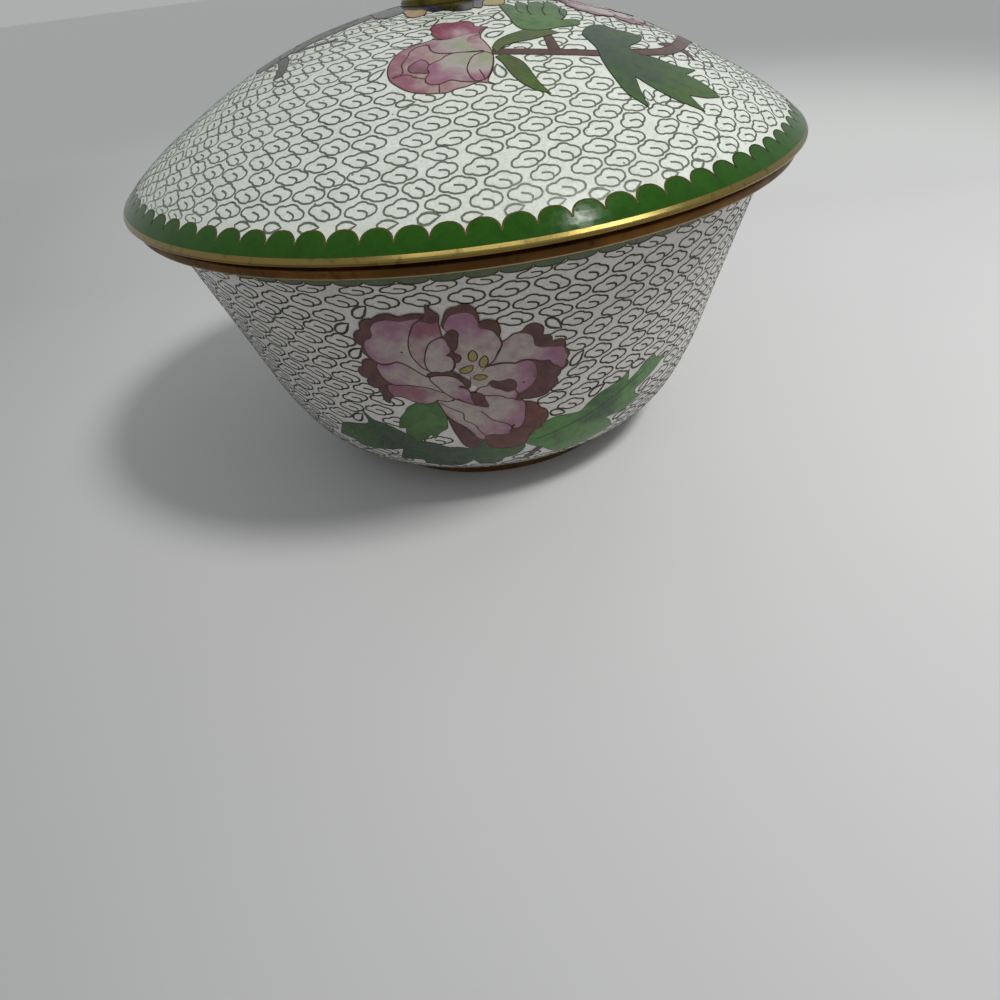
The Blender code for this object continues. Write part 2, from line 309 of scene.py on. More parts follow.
MATERIALS = {
    # White ground: glossy, slightly grey-green, with dark pinholes between the wires
    "white": enamel("white_enamel_ground_and_polished", "d8ded6", "c7cdc2", 7.0, 0.5, "4a4a40", 0.75, 0.2,
                    mottle=0.11),
    # The bowl's white is the same enamel painted a little warmer and darker: painted warm shade on the
    # bowl's wall under the lid
    "white_bowl_painted_warm_shade": enamel("white_enamel_with_painted_warm_shade", "d2cfcc", "c1bebb", 7.0, 0.5, "4a4540",
                         0.75, 0.22, mottle=0.12),
    # Inside and underneath, one plain blue-green paste keeps the copper from warping
    "counter": enamel("turquoise_counter_enamel", "3f9a9c", "2f8487", 12.0, 0.5, "1d4c50", 0.5, 0.26),
    # Border: transparent-looking grass green, darker where it pooled
    "border": enamel("green_border_enamel", "27520e", "1c4408", 4.0, 0.5, "0f2808", 0.35, 0.12, mottle=0.25,
                     shine=1.25),
    "border_low": enamel("grey_green_border_enamel", "5c664f", "48543c", 4.0, 0.5, "2c3826", 0.3, 0.24),
    # Leaves: a dark blue-green paste that runs into a yellower one, and brighter greens with a dark heart
    "leaf_blue": enamel("blue_green_leaf_enamel", "394a3a", "3e5c24", 4.0, 0.9, "263426", 0.35, 0.26,
                        mottle=0.5),
    "leaf_green": enamel("green_leaf_enamel", "4c7138", "3a582a", 4.0, 1.0, "263c20", 0.35, 0.26,
                         mottle=0.5),
    "leaf_heart": enamel("green_leaf_enamel_with_a_dark_heart", "4f7c3c", "26452a", 4.0, 1.0, "263c20",
                         0.35, 0.26, mottle=0.5),
    "leaf_olive": enamel("olive_leaf_enamel", "4a582d", "4a632c", 3.0, 0.9, "2e3a1c", 0.35, 0.26,
                         mottle=0.45),
    # Petals: cream in the heart of the flower, wetted into mauve pink at the edge
    "petal": enamel("cream_to_mauve_petal_enamel", "a89e95", "93667e", 4.0, 1.0, "7c5c68", 0.3, 0.26,
                    "704650", mottle=0.35),
    "petal_faded": enamel("pale_grey_to_mauve_petal_enamel", "b2aea8", "a1868f", 4.0, 0.9, "8a7078", 0.3,
                          0.26),
    "petal_rose": enamel("rose_petal_enamel", "a3938e", "8a5866", 3.5, 1.0, "704a56", 0.35, 0.26, "7a4a56",
                         mottle=0.35),
    "petal_green": enamel("green_to_white_to_pink_petal_enamel", "8f987e", "a49a9b", 3.5, 0.9, "7c6a60",
                          0.35, 0.26, "8c5a74", mottle=0.3),
    # Ruffles: a darker paste along the petals' edges, maroon, faded or brick red
    "ruffle": enamel("maroon_petal_edge_enamel", "5f3936", "4a292b", 2.5, 1.4, "38221e", 0.35, 0.26,
                     mottle=0.5),
    "ruffle_faded": enamel("faded_maroon_petal_edge_enamel", "8c6e70", "7a5c60", 2.5, 1.2, "5c4444", 0.35,
                           0.26),
    "ruffle_red": enamel("brick_red_petal_edge_enamel", "6c3a36", "58302c", 2.5, 1.2, "3c2420", 0.35, 0.26,
                         mottle=0.5),
    "crimson": enamel("white_to_crimson_bud_enamel", "b39aa0", "86495b", 3.0, 0.5, "64404a", 0.35, 0.24,
                      mottle=0.35),
    "branch": enamel("brown_red_branch_enamel", "563f3b", "46312e", 3.0, 0.8, "2c2220", 0.35, 0.26,
                     mottle=0.4),
    "stamen": enamel("yellow_stamen_enamel", "9a8a58", "8a7840", 2.0, 0.5, "6c5a2c", 0.3, 0.24),
    # Butterflies and the ring round the knob: flat pastes, from ochre to nearly black
    "wing_navy": enamel("navy_butterfly_enamel", "2a2f52", "1f2138", 3.0, 0.5, "10121c", 0.3, 0.2),
    "wing_grey": enamel("grey_violet_butterfly_enamel", "585a5e", "484c4b", 4.0, 0.7, "323236", 0.3, 0.24),
    "wing_dusk": enamel("dark_grey_butterfly_enamel", "41443f", "343736", 4.0, 0.6, "232523", 0.3, 0.24),
    "wing_ochre": enamel("ochre_butterfly_enamel", "a8865c", "8c6c40", 3.0, 0.6, "5a4424", 0.3, 0.22),
    "wing_yellow": enamel("yellow_butterfly_enamel", "a89a58", "8c7c3c", 3.0, 0.6, "5a4c1c", 0.3, 0.22),
    "wing_black": enamel("black_butterfly_enamel", "23261e", "121410", 3.0, 0.5, "0a0a08", 0.3, 0.18),
    "wing_red": enamel("red_brown_butterfly_enamel", "6a2c26", "4a1c1a", 3.0, 0.5, "2a1010", 0.3, 0.2),
    # Cloud wires: brass darkened by the firing, grey-olive, rubbed a little brighter in places
    "wire": brass("fired_brass_cloud_wire", "524f3a", "3e3e33", 14.0, 0.42, 0.42),
    # On the lid the same wire is painted lighter and greyer, a painted reflection of the light from above
    # on its flat tops
    "wire_lid_painted_lighter": brass("brass_cloud_wire_painted_lighter", "949b8b", "7e8475", 14.0, 0.42, 0.42),
    # Inside the pictures the same wire is stained by the pink and brown pastes
    "wire_picture": brass("stained_brass_petal_wire", "5c463c", "463630", 8.0, 0.42, 0.42),
    # On the lid this stained wire is painted lighter, a painted reflection of the light from above
    "wire_petal_painted_lighter": brass("stained_brass_lid_petal_wire_painted_lighter", "80584e", "66453f", 8.0, 0.42, 0.42),
    "wire_leaf": brass("stained_brass_leaf_wire", "47543a", "364430", 8.0, 0.42, 0.42),
    # Round the border it is golden, with long darker stretches
    "wire_gold": brass("worn_brass_border_wire", "6c6236", "38341a", 40.0, 0.5, 0.42),
    # Bead, band, foot and knob: turned brass, tarnished brown where fingers and cloth don't reach. The bead
    # is painted paler on its upper half and the band along its lower edge, as painted highlights
    "bead": brass("turned_brass_bead_with_painted_highlight", "8c6e32", "64501f", 14.0, 0.52, 0.2, turned_marks=True,
                  painted_highlight=(73.95, 74.2, "8e7d46")),
    "band": brass("tarnished_turned_brass_band_with_painted_highlight", "7c5627", "5a3d1e", 12.0, 0.45, 0.38, turned_marks=True,
                  painted_highlight=(71.0, 70.8, "b09a68")),
    "foot": brass("tarnished_turned_brass_foot", "86643c", "664a2c", 10.0, 0.42, 0.55, True),
    "knob": brass("handled_turned_brass_knob", "6d6426", "38341a", 6.0, 0.46, 0.34, True),
}


# ---------------------------------------------------------------- making pieces

def add_piece(name, mesh, materials, replaced=None):
    """Puts a finished mesh in the scene as a piece of the object."""
    for material in materials:
        mesh.materials.append(MATERIALS[material])
    piece = bpy.data.objects.new(name, mesh)
    bpy.context.scene.collection.objects.link(piece)
    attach(piece, "root")
    if replaced:
        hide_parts(replaced)
    return piece


def read_points(mesh):
    """The points of a mesh, one in each row."""
    values = np.empty(len(mesh.vertices) * 3)
    mesh.vertices.foreach_get("co", values)
    return values.reshape(-1, 3)


def write_points(mesh, points):
    """Moves the points of a mesh to these."""
    mesh.vertices.foreach_set("co", points.ravel())
    mesh.update()


def to_mesh(form, name):
    """Makes a mesh of a bmesh, which goes."""
    mesh = bpy.data.meshes.new(name)
    form.to_mesh(mesh)
    form.free()
    return mesh


def to_closed_mesh(form, name, weld):
    """Joins points nearer than weld, turns the faces outwards and makes a mesh of the bmesh."""
    bmesh.ops.remove_doubles(form, verts=form.verts, dist=weld)
    bmesh.ops.recalc_face_normals(form, faces=form.faces)
    return to_mesh(form, name)


def turned(name, corners, closed, materials, replaced):
    """A piece turned about the axis from corners (radius, height). A closed outline is a ring."""
    form = bmesh.new()
    line = [form.verts.new((radius * MM, 0.0, height * MM)) for radius, height in corners]
    for a, b in zip(line, line[1:] + line[:1] if closed else line[1:]):
        form.edges.new((a, b))
    bmesh.ops.spin(form, geom=form.verts[:] + form.edges[:], axis=(0, 0, 1), angle=math.tau,
                   steps=TURN_STEPS, use_merge=True)
    mesh = to_closed_mesh(form, name, 1e-6)
    mesh.shade_smooth()
    mesh.set_sharp_from_angle(angle=math.radians(TURN_EDGE))
    return add_piece(name, mesh, materials, replaced)


def evaluated_mesh(carrier):
    """The mesh that a helper object makes with its modifiers or bevel. The helper goes."""
    bpy.context.scene.collection.objects.link(carrier)
    graph = bpy.context.evaluated_depsgraph_get()
    mesh = bpy.data.meshes.new_from_object(carrier.evaluated_get(graph))
    bpy.data.objects.remove(carrier)
    return mesh


def make_wire_section():
    """The section of a polished wire, one wide: flat on top, a wedge below. It is removed at the end."""
    section = bpy.data.curves.new("wire_section", "CURVE")
    section.dimensions = "3D"
    line = section.splines.new("POLY")
    line.points.add(2)
    for point, (across, up) in zip(line.points, ((-0.5, 0.0), (0.5, 0.0), (0.0, -WIRE_DEPTH / BOWL_WIRE))):
        point.co = (across, up, 0.0, 1.0)
    line.use_cyclic_u = True
    carrier = bpy.data.objects.new("wire_section", section)
    bpy.context.scene.collection.objects.link(carrier)
    return carrier


WIRE_SECTION = make_wire_section()


def wire_mesh(name, lines):
    """Bent wires, still flat. Each line is (points, height of its top, closed, width)."""
    curve = bpy.data.curves.new(name, "CURVE")
    curve.dimensions = "3D"
    curve.twist_mode = "Z_UP"
    curve.bevel_mode = "OBJECT"
    curve.bevel_object = WIRE_SECTION
    curve.use_fill_caps = True
    for points, top, closed, width in lines:
        line = curve.splines.new("POLY")
        line.points.add(len(points) - 1)
        flat = np.column_stack([points, np.full(len(points), top), np.ones(len(points))])
        line.points.foreach_set("co", flat.ravel())
        line.points.foreach_set("radius", np.full(len(points), width))
        line.use_cyclic_u = closed
    form = bmesh.new()
    bevelled = evaluated_mesh(bpy.data.objects.new(name, curve))
    form.from_mesh(bevelled)
    bpy.data.meshes.remove(bevelled)
    for face in form.faces:
        face.smooth = False
    return to_closed_mesh(form, name, 1e-4)


def bend(text, closed=False, step=LINE_STEP):
    """The line bent through the points of a drawing. A point marked c is a sharp corner."""
    marks = text.split()
    points = np.array([[float(value) for value in mark.rstrip("c").split(",")] for mark in marks])
    sharp = [mark.endswith("c") for mark in marks]
    count = len(points)
    if not closed:
        sharp[0] = sharp[-1] = True
    chords = np.linalg.norm(np.roll(points, -1, axis=0) - points, axis=1)
    heads = (np.roll(points, -1, axis=0) - points) / chords[:, None]

    def heading(i, chord):
        """Direction of the line at a point, for the chord that it is wanted on."""
        if sharp[i]:
            return heads[chord]
        back, ahead = chords[(i - 1) % count], chords[i]
        return (heads[(i - 1) % count] * ahead + heads[i] * back) / (back + ahead)

    line = []
    for i in range(count if closed else count - 1):
        j = (i + 1) % count
        pieces = max(1, round(chords[i] / step))
        t = (np.arange(pieces) / pieces)[:, None]
        start, end = heading(i, i) * chords[i], heading(j, i) * chords[i]
        line.append(points[i] * (2 * t ** 3 - 3 * t ** 2 + 1) + start * (t ** 3 - 2 * t ** 2 + t)
                    + points[j] * (3 * t ** 2 - 2 * t ** 3) + end * (t ** 3 - t ** 2))
    if not closed:
        line.append(points[-1:])
    return np.concatenate(line)


def half_turn(angle):
    """The same angles, between half a turn back and half a turn on."""
    return (angle + math.pi) % math.tau - math.pi


def inside(points, loop):
    """Which of the points lie inside a closed loop."""
    x, y = points[:, 0][:, None], points[:, 1][:, None]
    ax, ay = loop[:, 0], loop[:, 1]
    bx, by = np.roll(ax, -1), np.roll(ay, -1)
    with np.errstate(divide="ignore", invalid="ignore"):
        crossed = ((ay > y) != (by > y)) & (x < (bx - ax) * (y - ay) / (by - ay) + ax)
    return crossed.sum(axis=1) % 2 == 1


def slab(loop, top, material_index):
    """A thin closed slab of enamel with this outline, cut into faces that are small enough to bend."""
    form = bmesh.new()
    form.faces.new([form.verts.new((x, y, top - FIELD_LIFT - FIELD_DEPTH)) for x, y in loop])
    low, high = loop.min(axis=0), loop.max(axis=0)
    for axis in (0, 1):
        cuts = math.ceil((high[axis] - low[axis]) / GRID)
        across = Vector((axis == 0, axis == 1, 0))
        for i in range(1, cuts):
            place = across * (low[axis] + (high[axis] - low[axis]) * i / cuts)
            bmesh.ops.bisect_plane(form, geom=form.verts[:] + form.edges[:] + form.faces[:], dist=1e-5,
                                   plane_co=place, plane_no=across)
    bmesh.ops.triangulate(form, faces=form.faces[:])
    raised = bmesh.ops.extrude_face_region(form, geom=form.faces[:], use_keep_orig=True)["geom"]
    raised = [part for part in raised if isinstance(part, bmesh.types.BMVert)]
    bmesh.ops.translate(form, verts=raised, vec=(0, 0, FIELD_LIFT + FIELD_DEPTH))
    for face in form.faces:
        face.material_index = material_index
    return to_closed_mesh(form, "slab", 1e-5)


def copies(template, count):
    """One mesh with that many copies of a small one, all in the same place."""
    carrier = bpy.data.objects.new("copies", template)
    array = carrier.modifiers.new("array", "ARRAY")
    array.count = count
    array.use_relative_offset = False
    return evaluated_mesh(carrier)


def placed(name, template, surface, places):
    """Copies of a flat template, wrapped. places has rows of (angle, along, tilt, width, height)."""
    mesh = copies(template, len(places))
    mesh.name = name
    x, y, lift = np.moveaxis(read_points(mesh).reshape(len(places), -1, 3), -1, 0)
    write_points(mesh, surface.wrapped(*spread(surface, places, x, y), lift))
    return mesh


def spread(surface, places, x, y):
    """Angles and lengths along the outline, of the points x, y of a shape that is laid at each place."""
    angle, along, tilt, wide, tall = (column[:, None] for column in np.asarray(places).T)
    x, y = x * wide, y * tall
    x, y = x * np.cos(tilt) - y * np.sin(tilt), x * np.sin(tilt) + y * np.cos(tilt)
    return angle + x / surface.girth(along - y), along - y


def write_shades(mesh, shades):
    """How far each point of a field is from its pale paste to the deep one."""
    shade = mesh.attributes.new("shade", "FLOAT", "POINT")
    shade.data.foreach_set("value", shades.astype(np.float32))


# The fields of a drawing are made in three groups, each with its slot in the record and its colours
GROUP_SLOTS = {"leaves": "green_enamel", "petals": "peony_enamel", "wings": "butterfly_enamel"}
GROUP_COLOURS = {
    "leaves": "leaf_blue leaf_green leaf_heart leaf_olive",
    "petals": "petal petal_faded petal_rose petal_green ruffle ruffle_faded ruffle_red crimson stamen"
              " branch",
    "wings": "wing_navy wing_grey wing_dusk wing_ochre wing_yellow wing_black wing_red",
}
GROUPS = {colour: group for group, colours in GROUP_COLOURS.items() for colour in colours.split()}
PLAIN_SHADE = 0.4         # of a field whose pastes are mixed evenly


class Drawing:
    """A picture laid out flat. Later fields lie over earlier ones."""

    def __init__(self, name, surface, turn=0.0, petal_wire="wire_picture"):
        self.name = name
        self.surface = surface
        self.turn = turn
        self.fields = []
        self.petal_wire = petal_wire
        self.wires = {petal_wire: [], "wire_leaf": []}
        self.stack = []
        self.move()

    def move(self, origin=(0, 0), to=(0, 0), tilt=0.0, size=1.0, flip=False, down=False):
        """Where the next shapes go: origin in their own drawing comes to lie at to.

        tilt is in degrees. flip mirrors them from side to side, and down is for shapes that run down.
        """
        self.origin = np.array(origin, float)
        self.to = np.array(to, float)
        self.tilt = math.radians(tilt)
        self.size = size
        self.flip = flip
        self.down = down

    def lay(self, points):
        """Drawn points, moved to their place. Heights in drawings for the bowl run down the wall."""
        x, y = ((points - self.origin) * self.size).T
        if self.flip:
            x = -x
        if self.down:
            y = -y
        cos, sin = math.cos(self.tilt), math.sin(self.tilt)
        return np.column_stack([x * cos - y * sin, x * sin + y * cos]) + self.to

    def level(self, points, closed):
        """How many fields lie under this one, or under this wire."""
        level = 0
        for other, other_level, is_field in self.stack:
            crosses = is_field and inside(points, other).any() or closed and inside(other, points).any()
            if crosses:
                level = max(level, other_level + (1 if closed else 0))
        return level

    def field(self, colour, shape, fade=None, wire=True):
        """A field of enamel, outlined with a wire.

        fade is (x, y, near, far): going away from x, y, the colour runs from pale at near to deep at far.
        A leaf with a dark heart has the larger of the two first.
        """
        loop = self.lay(bend(shape, closed=True) if isinstance(shape, str) else shape)
        level = self.level(loop, True)
        self.stack.append((loop, level, True))
        if fade:
            centre = self.lay(np.array([fade[:2]]))[0]
            fade = (*centre, fade[2] * self.size, fade[3] * self.size)
        self.fields.append((colour, loop, level, fade))
        is_leaf = GROUPS[colour] == "leaves"
        self.wire = "wire_leaf" if is_leaf else self.petal_wire
        if wire:
            width = LEAF_WIRE if is_leaf else PICTURE_WIRE
            self.wires[self.wire].append((loop, FIELD_LIFT + LAYER * level + OVER, True, width))

    def stem(self, colour, text, widths, fade=None):
        """A field of even or tapering width along a line."""
        line = bend(text)
        along = np.gradient(line, axis=0)
        along /= np.linalg.norm(along, axis=1)[:, None]
        side = np.column_stack([-along[:, 1], along[:, 0]]) * np.linspace(*widths, len(line))[:, None] / 2
        self.field(colour, np.concatenate([line + side, (line - side)[::-1]]), fade)

    def line(self, text, width=PICTURE_WIRE, closed=False):
        """A wire on top of the fields drawn so far, of the sort that goes with the last one."""
        points = self.lay(bend(text, closed))
        level = self.level(points, False)
        top = FIELD_LIFT + LAYER * level + OVER
        self.stack.append((points, level, False))
        self.wires[self.wire].append((points, top, closed, width))

    def around(self, x, y):
        """Angles round the axis and lengths along the outline, of drawn points."""
        if self.surface.plan:
            return np.arctan2(y, x) + self.turn, np.hypot(x, y)
        return self.turn + x / self.surface.girth(-y), -y

    def wrap(self, mesh):
        """Bends a flat mesh over the bowl or the lid."""
        x, y, lift = read_points(mesh).T
        write_points(mesh, self.surface.wrapped(*self.around(x, y), lift))

    def flat_places(self, angle, along):
        """Points of the piece in the flat drawing, to see what lies under the picture."""
        if self.surface.plan:
            return np.column_stack([along * np.cos(angle - self.turn), along * np.sin(angle - self.turn)])
        return np.column_stack([half_turn(angle - self.turn) * self.surface.girth(along), -along])

    def covers(self, angle, along):
        """Which of these points of the piece lie under a field."""
        flat = self.flat_places(angle, along)
        covered = np.zeros(len(flat), bool)
        for loop, _, is_field in self.stack:
            if is_field:
                covered |= inside(flat, loop)
        return covered

    def make(self):
        """Makes the pieces: one for each group of colours, and one for each sort of wire."""
        for group, slot in GROUP_SLOTS.items():
            fields = [field for field in self.fields if GROUPS[field[0]] == group]
            if not fields:
                continue
            colours = sorted({field[0] for field in fields})
            form = bmesh.new()
            shades = []
            for colour, loop, level, fade in fields:
                part = slab(loop, FIELD_LIFT + LAYER * level, colours.index(colour))
                points = read_points(part)
                if fade:
                    reach = np.hypot(points[:, 0] - fade[0], points[:, 1] - fade[1])
                    shades.append(np.clip((reach - fade[2]) / (fade[3] - fade[2]), 0, 2))
                else:
                    shades.append(np.full(len(points), PLAIN_SHADE))
                form.from_mesh(part)
            mesh = to_mesh(form, f"{self.name}_{group}")
            write_shades(mesh, np.concatenate(shades))
            self.wrap(mesh)
            add_piece(mesh.name, mesh, colours)
        for wire, suffix in ((self.petal_wire, "wires"), ("wire_leaf", "leaf_wires")):
            if self.wires[wire]:
                mesh = wire_mesh(f"{self.name}_{suffix}", self.wires[wire])
                self.wrap(mesh)
                add_piece(mesh.name, mesh, [wire])


# ---------------------------------------------------------------- the drawings

def draw_flower(d, petal="petal", rose="petal_rose", ruffle="ruffle"):
    """An open peony seen a little from the side, with ruffled darker edges on its petals."""
    # Petals that hang below the flower, with redder ruffles where it isn't faded
    low_ruffle = "ruffle_red" if ruffle == "ruffle" else ruffle
    d.field(low_ruffle, "-3,47 -0.5,46 3.4,46.4 6.6,45 9.6,46.4 10.6,47.6 8.3,48.8 7,51 6.2,53.2 3.7,54"
            " 0.1,53.7 -2.3,52 -2.8,49.5")
    d.field(ruffle, "-10.4,39.5 -6,43 -3.2,49.2 -4.4,51 -6.5,52.5 -8,51 -9,48 -10,44")
    d.field(low_ruffle, "5,36.5 6.6,37.9 8,38.4 9.5,39.4 10.3,41c 11.5,42 12,43.6 11.7,45.2 10.6,46.6c"
            " 9.6,47.5 8.2,47.4 7.5,46.9 6,46.3 5,47 2,47 2,40")
    d.field(petal, "-12,35 -11.5,37 -10.5,40 -9,42 -7,44 -5.5,46.5 -4.5,48.5 -3.2,49.2 -2.6,47.9 -1,47.6"
            " 1,48.2 2.6,48.2 3.4,46.4 5,46.4 6,45.3 6.5,44 6.7,42 7,40 6.8,38.2 6,37 3,34 -4,33 -8,33.5",
            fade=(-5, 37, 4, 13))
    d.field(petal, "-1.7,34.6 -1.2,37 -1,38.3 -3,39.2 -2,40.5 -1,42 0.5,43.2 2,44 3.6,44.9 5.2,44.6"
            " 6.2,42.8 6.6,40.6 6.5,38.4 5.6,36.6 3,35 0.5,34.2", fade=(0, 39, 2.5, 7.5), wire=False)
    d.line("-3,39.2 -2,40.5 -1,42 0.5,43.2 2,44 3.2,45.2 3.8,46")
    d.line("-11.5,35.6 -10.5,36.6 -8.5,38.2 -7,39.3 -6.8,41.8 -5.5,42.8 -4.5,44 -4,45.5 -3.2,47"
           " -2.6,47.9")
    d.line("4.2,45.2 3.4,45.6 3.6,46.4", width=0.55)

    # Right-hand petals
    d.field(ruffle, "3.2,20 4.3,19.3 5.5,18.3 6.6,18.2 7.4,17.9c 8.2,16.9 9.4,16.5 10.6,16.9 11.6,18"
            " 11.4,20c 12.4,20.3 13.3,21 13.3,22.2c 14.3,22 15.6,22.3 16.2,23.4 16,24.8c 16.6,25.2 17,26"
            " 17,27 16.4,28c 16.8,29 16.4,30.2 15.5,30.8c 14.6,31.2 12,31 9,28 5,27 1,26.5 -0.5,26 1.5,24"
            " 2.7,22")
    d.field(petal, "3.2,20.2 4.3,19.5 5.5,18.6 7,18.5 8.2,18.9 9.2,19.8 9.5,21 9.7,22.4 10.8,23.2"
            " 12.5,23.5 14,24 15.2,24.2 16,24.8 16.1,26 16.6,27 16.1,28.5 15.9,29.7 14.6,30 13,28.5 11,27"
            " 8,26.4 5.5,26.6 3,26.4 1,26.2 -0.3,26 1.5,24 2.8,22", fade=(5, 24.5, 2.5, 9.5), wire=False)
    d.field(ruffle, "-3.5,27.6 -2,26.8 -0.3,25.9 1,25.7 3,25.6 4.5,25.9 5.5,26.2 6.5,25.8 8,25.8"
            " 9.5,26.3 10.8,27 12.5,27.3 13.4,28.7 14.4,29.4c 15,30.4 14.9,31.7 14.1,32.6c 14.4,33.8"
            " 13.8,35.2 12.7,35.9c 11.6,37 9,37.4 7,37.2 6,36.8 4.5,35.6 3,33 -1,32 -4,30")
    d.field(petal, "-3.5,27.7 -2,27 -0.3,26.1 1,25.9 3,25.8 4.5,26.1 5.5,26.4 6.5,26 8,26 9.1,26.7"
            " 9.7,29.4 9.6,31.2 8.6,33 7,34.4 5,35.2 3,34.6 -1,32.4 -4,30.4", fade=(0, 28.5, 3, 8.5),
            wire=False)
    d.field(petal, "-3.4,33.2 -2.8,32 -2,31.6 -0.8,31.5 -0.4,30.6 0.4,30.1 1.3,30.6 2.5,30.6 4,30.4"
            " 5,31.2 5.3,32.4 5,34 5.6,35.4 5,37 4.2,36.3 3,36 2,35.2 0.5,34.6 -1.2,34.4",
            fade=(-1, 34, 1, 6))
    d.field(ruffle, "-0.4,31 0.4,30.2 1.3,30.6 2.5,30.6 4,30.4 5,31.2 5.3,32.3 4.9,33.8 3.3,34.1"
            " 1.7,33.1 0.4,32.4", wire=False)
    d.line("5.6,35 5,36.6 6,37.5")
    d.line("7,31.8 6.8,32.2", width=0.5)
    d.line("9.3,30.7 9.1,31", width=0.4)

    # Petal behind the stamens
    d.field(ruffle, "-8,14 -7.4,12.2c -6.9,10.9 -5.8,10 -4.6,9.9c -3.3,9.4 -1.9,10 -1.2,11.2 -0.8,12.6"
            " -0.8,14.2c 0,13.8 1,13.8 2.2,14.3 2.9,15.6 3.1,17 2.7,18.3c 3,19.2 3,21 2.2,22.2 1.7,23.5"
            " 1,24.7 -0.2,25.6 -3,28 -6,26 -7,22 -6.5,18 -7,16")
    d.field(petal, "-7.6,14.5 -6.9,12.8 -6.3,11.9 -4.5,11.4 -3,11.4 -1.8,12.2 -1.2,13.8 -1,15.5 0.5,16.1"
            " 1.5,16.8 2.2,18 2.7,19.2 2.8,20.9 2,22.2 1.5,23.5 0.8,24.6 -0.3,25.4 -3,28.5 -6,27 -7,23"
            " -6,19 -6.3,16.5 -7,15.8", fade=(-2.5, 25.5, 4.5, 13.5), wire=False)
    d.field("stamen", "-3.9,22.9 -3.6,21.6 -2.9,21 -2.2,21.8 -2.1,23 -2.6,23.9 -3.4,23.9")
    d.field("stamen", "-0.5,22.8 0,24.2 -0.4,25.4 -1.4,26 -1.9,25.2 -1.6,23.8")
    d.field("stamen", "-3.2,25.2 -3.5,26.4 -4.6,27.1 -5.8,26.9 -6,26 -5,25.4")
    d.field("stamen", "-0.6,28.8 -1.8,28 -3,28 -3.4,28.8 -2.4,29.5 -1.4,29.4")

    # Left-hand petals, from the lowest up
    d.field(ruffle, "-24,31c -24.8,31.8 -24.6,32.8 -24.1,33.3c -24.4,34.3 -24.1,35.4 -23.2,36c -22.8,35"
            " -22.2,34 -21.6,33.6 -19,32 -19,30 -22,29.5")
    d.field(rose, "-22.3,30 -22.5,32 -21.6,33.6c -20,33.6 -18.5,34.3 -17.2,35.2 -16,35.7 -14,35.8"
            " -12.8,35.4 -12,34.7c -11,35 -9.8,35.3 -8.7,35 -7.9,34.4c -10,32 -11.5,31 -15,29 -17.5,28.5",
            fade=(-9.5, 34, 1, 8.5))
    d.field(ruffle, "-24,22.6 -25.3,22.5 -26.5,23.2 -26.8,24.8c -27.8,25.2 -28.2,26.6 -27.5,27.9"
            " -26.4,28.2c -26.9,29 -26.6,30.3 -25.7,31.1 -24.9,31c -23.6,30.8 -22,29.9 -20,29.8 -19,26"
            " -21,23")
    d.field(petal, "-23.4,24 -23.4,26 -22.8,27.8 -22,29 -21.2,29.7 -17.5,29.9 -15,30.4 -13,31 -11.5,31.8"
            " -10,32.5 -10,29 -12,26 -13.5,25 -16,23 -18.5,22 -21,22.6 -22.5,23.2",
            fade=(-13, 29.5, 4, 11))
    d.field(ruffle, "-9,13 -10,11.5 -13,10.7 -16,11.3c -17.6,10.5 -19.6,10.6 -21.5,11.7c -23,11.7"
            " -24.2,12.6 -24.5,14.5c -25.8,15 -26.5,16.6 -26.2,18 -25.2,18.8c -25.7,19.6 -25.6,20.6"
            " -25,21.3c -24.6,22 -23.8,22.5 -22,24 -20,23.6 -18.5,23.1 -17.5,23.6 -16,24.8 -14.8,26"
            " -13.5,27.2 -12.6,27.7 -10,24 -9,18")
    d.field(petal, "-9,13.4 -10.5,12.4 -13,12 -16,12.4 -19,12 -21.5,13 -22.3,14.2 -22.2,15.6 -22.8,16.6"
            " -24.2,17.4 -24.7,18.6 -24.6,20.4 -24.2,21.7 -22.4,23.4 -20,23.3 -18.5,22.8 -17.5,23.3"
            " -16,24.5 -14.8,25.7 -13.5,26.9 -12.6,27.4 -10,24 -9,18", fade=(-14, 23.5, 4, 11.5),
            wire=False)
    d.line("-17,20.2 -17.2,20.5", width=0.45)
    d.field(rose, "-15.4,19 -14.9,16.5 -14.2,14.8 -13.4,13.2 -12,12.2 -10.9,11.3 -10.3,8.6c -9.3,10.1"
            " -8.2,11.4 -8.5,13.2 -8.4,15 -8.4,17 -9,20 -11,26 -12,25.9 -13,25.3 -14.2,23.7 -15.2,21.5",
            fade=(-13.5, 22.5, 3.5, 7.5))
    d.field(ruffle, "-12.2,12.5 -11,11.5 -10.4,9.2 -9.3,10.3 -8.4,11.5 -8.7,12.9 -9.7,13.3 -11,12.9",
            wire=False)
    d.field(ruffle, "-8,17.2 -7,15.6 -6,15.2 -5.2,16 -5.4,17.8 -5.6,19 -6,20.2 -6.8,20.8c -6.5,21.2"
            " -5.3,22.5 -5.8,23.7 -6.7,24c -6.8,25 -7.3,25.8 -8.3,26.4 -9.5,22")
    d.field(petal, "-8.2,17 -9.8,17.3 -11,18.2 -12,20 -12.6,22 -12.8,24 -12.2,25.8 -11,26.6 -9,26.6"
            " -7.6,25.8 -7,24.6 -6.9,23.2 -7.4,22 -8.3,21.7c -7.4,21.2 -7,20.4 -7.4,19 -7.6,18",
            fade=(-11, 24.5, 3, 7.5))
    d.field(ruffle, "-12.9,26.8 -11.5,26.1 -9.5,26.4 -8,26.1 -6.8,26.9 -5.4,28.4 -4.3,29.8 -4.5,31.2"
            " -5.2,31.8 -7,31 -9,28.5")
    d.field(petal, "-12.6,27.7 -10.8,27.2 -8.6,27.4 -7.2,28 -6,29.4 -5.3,30.8c -6,30.6 -7,30.8c"
            " -5.6,31.4 -4.6,32.8 -4.5,34 -4,36.7 -6,35.6 -8,34.4 -10,32.4 -11.2,30.5 -12.2,29",
            fade=(-10, 29, 2.5, 8))
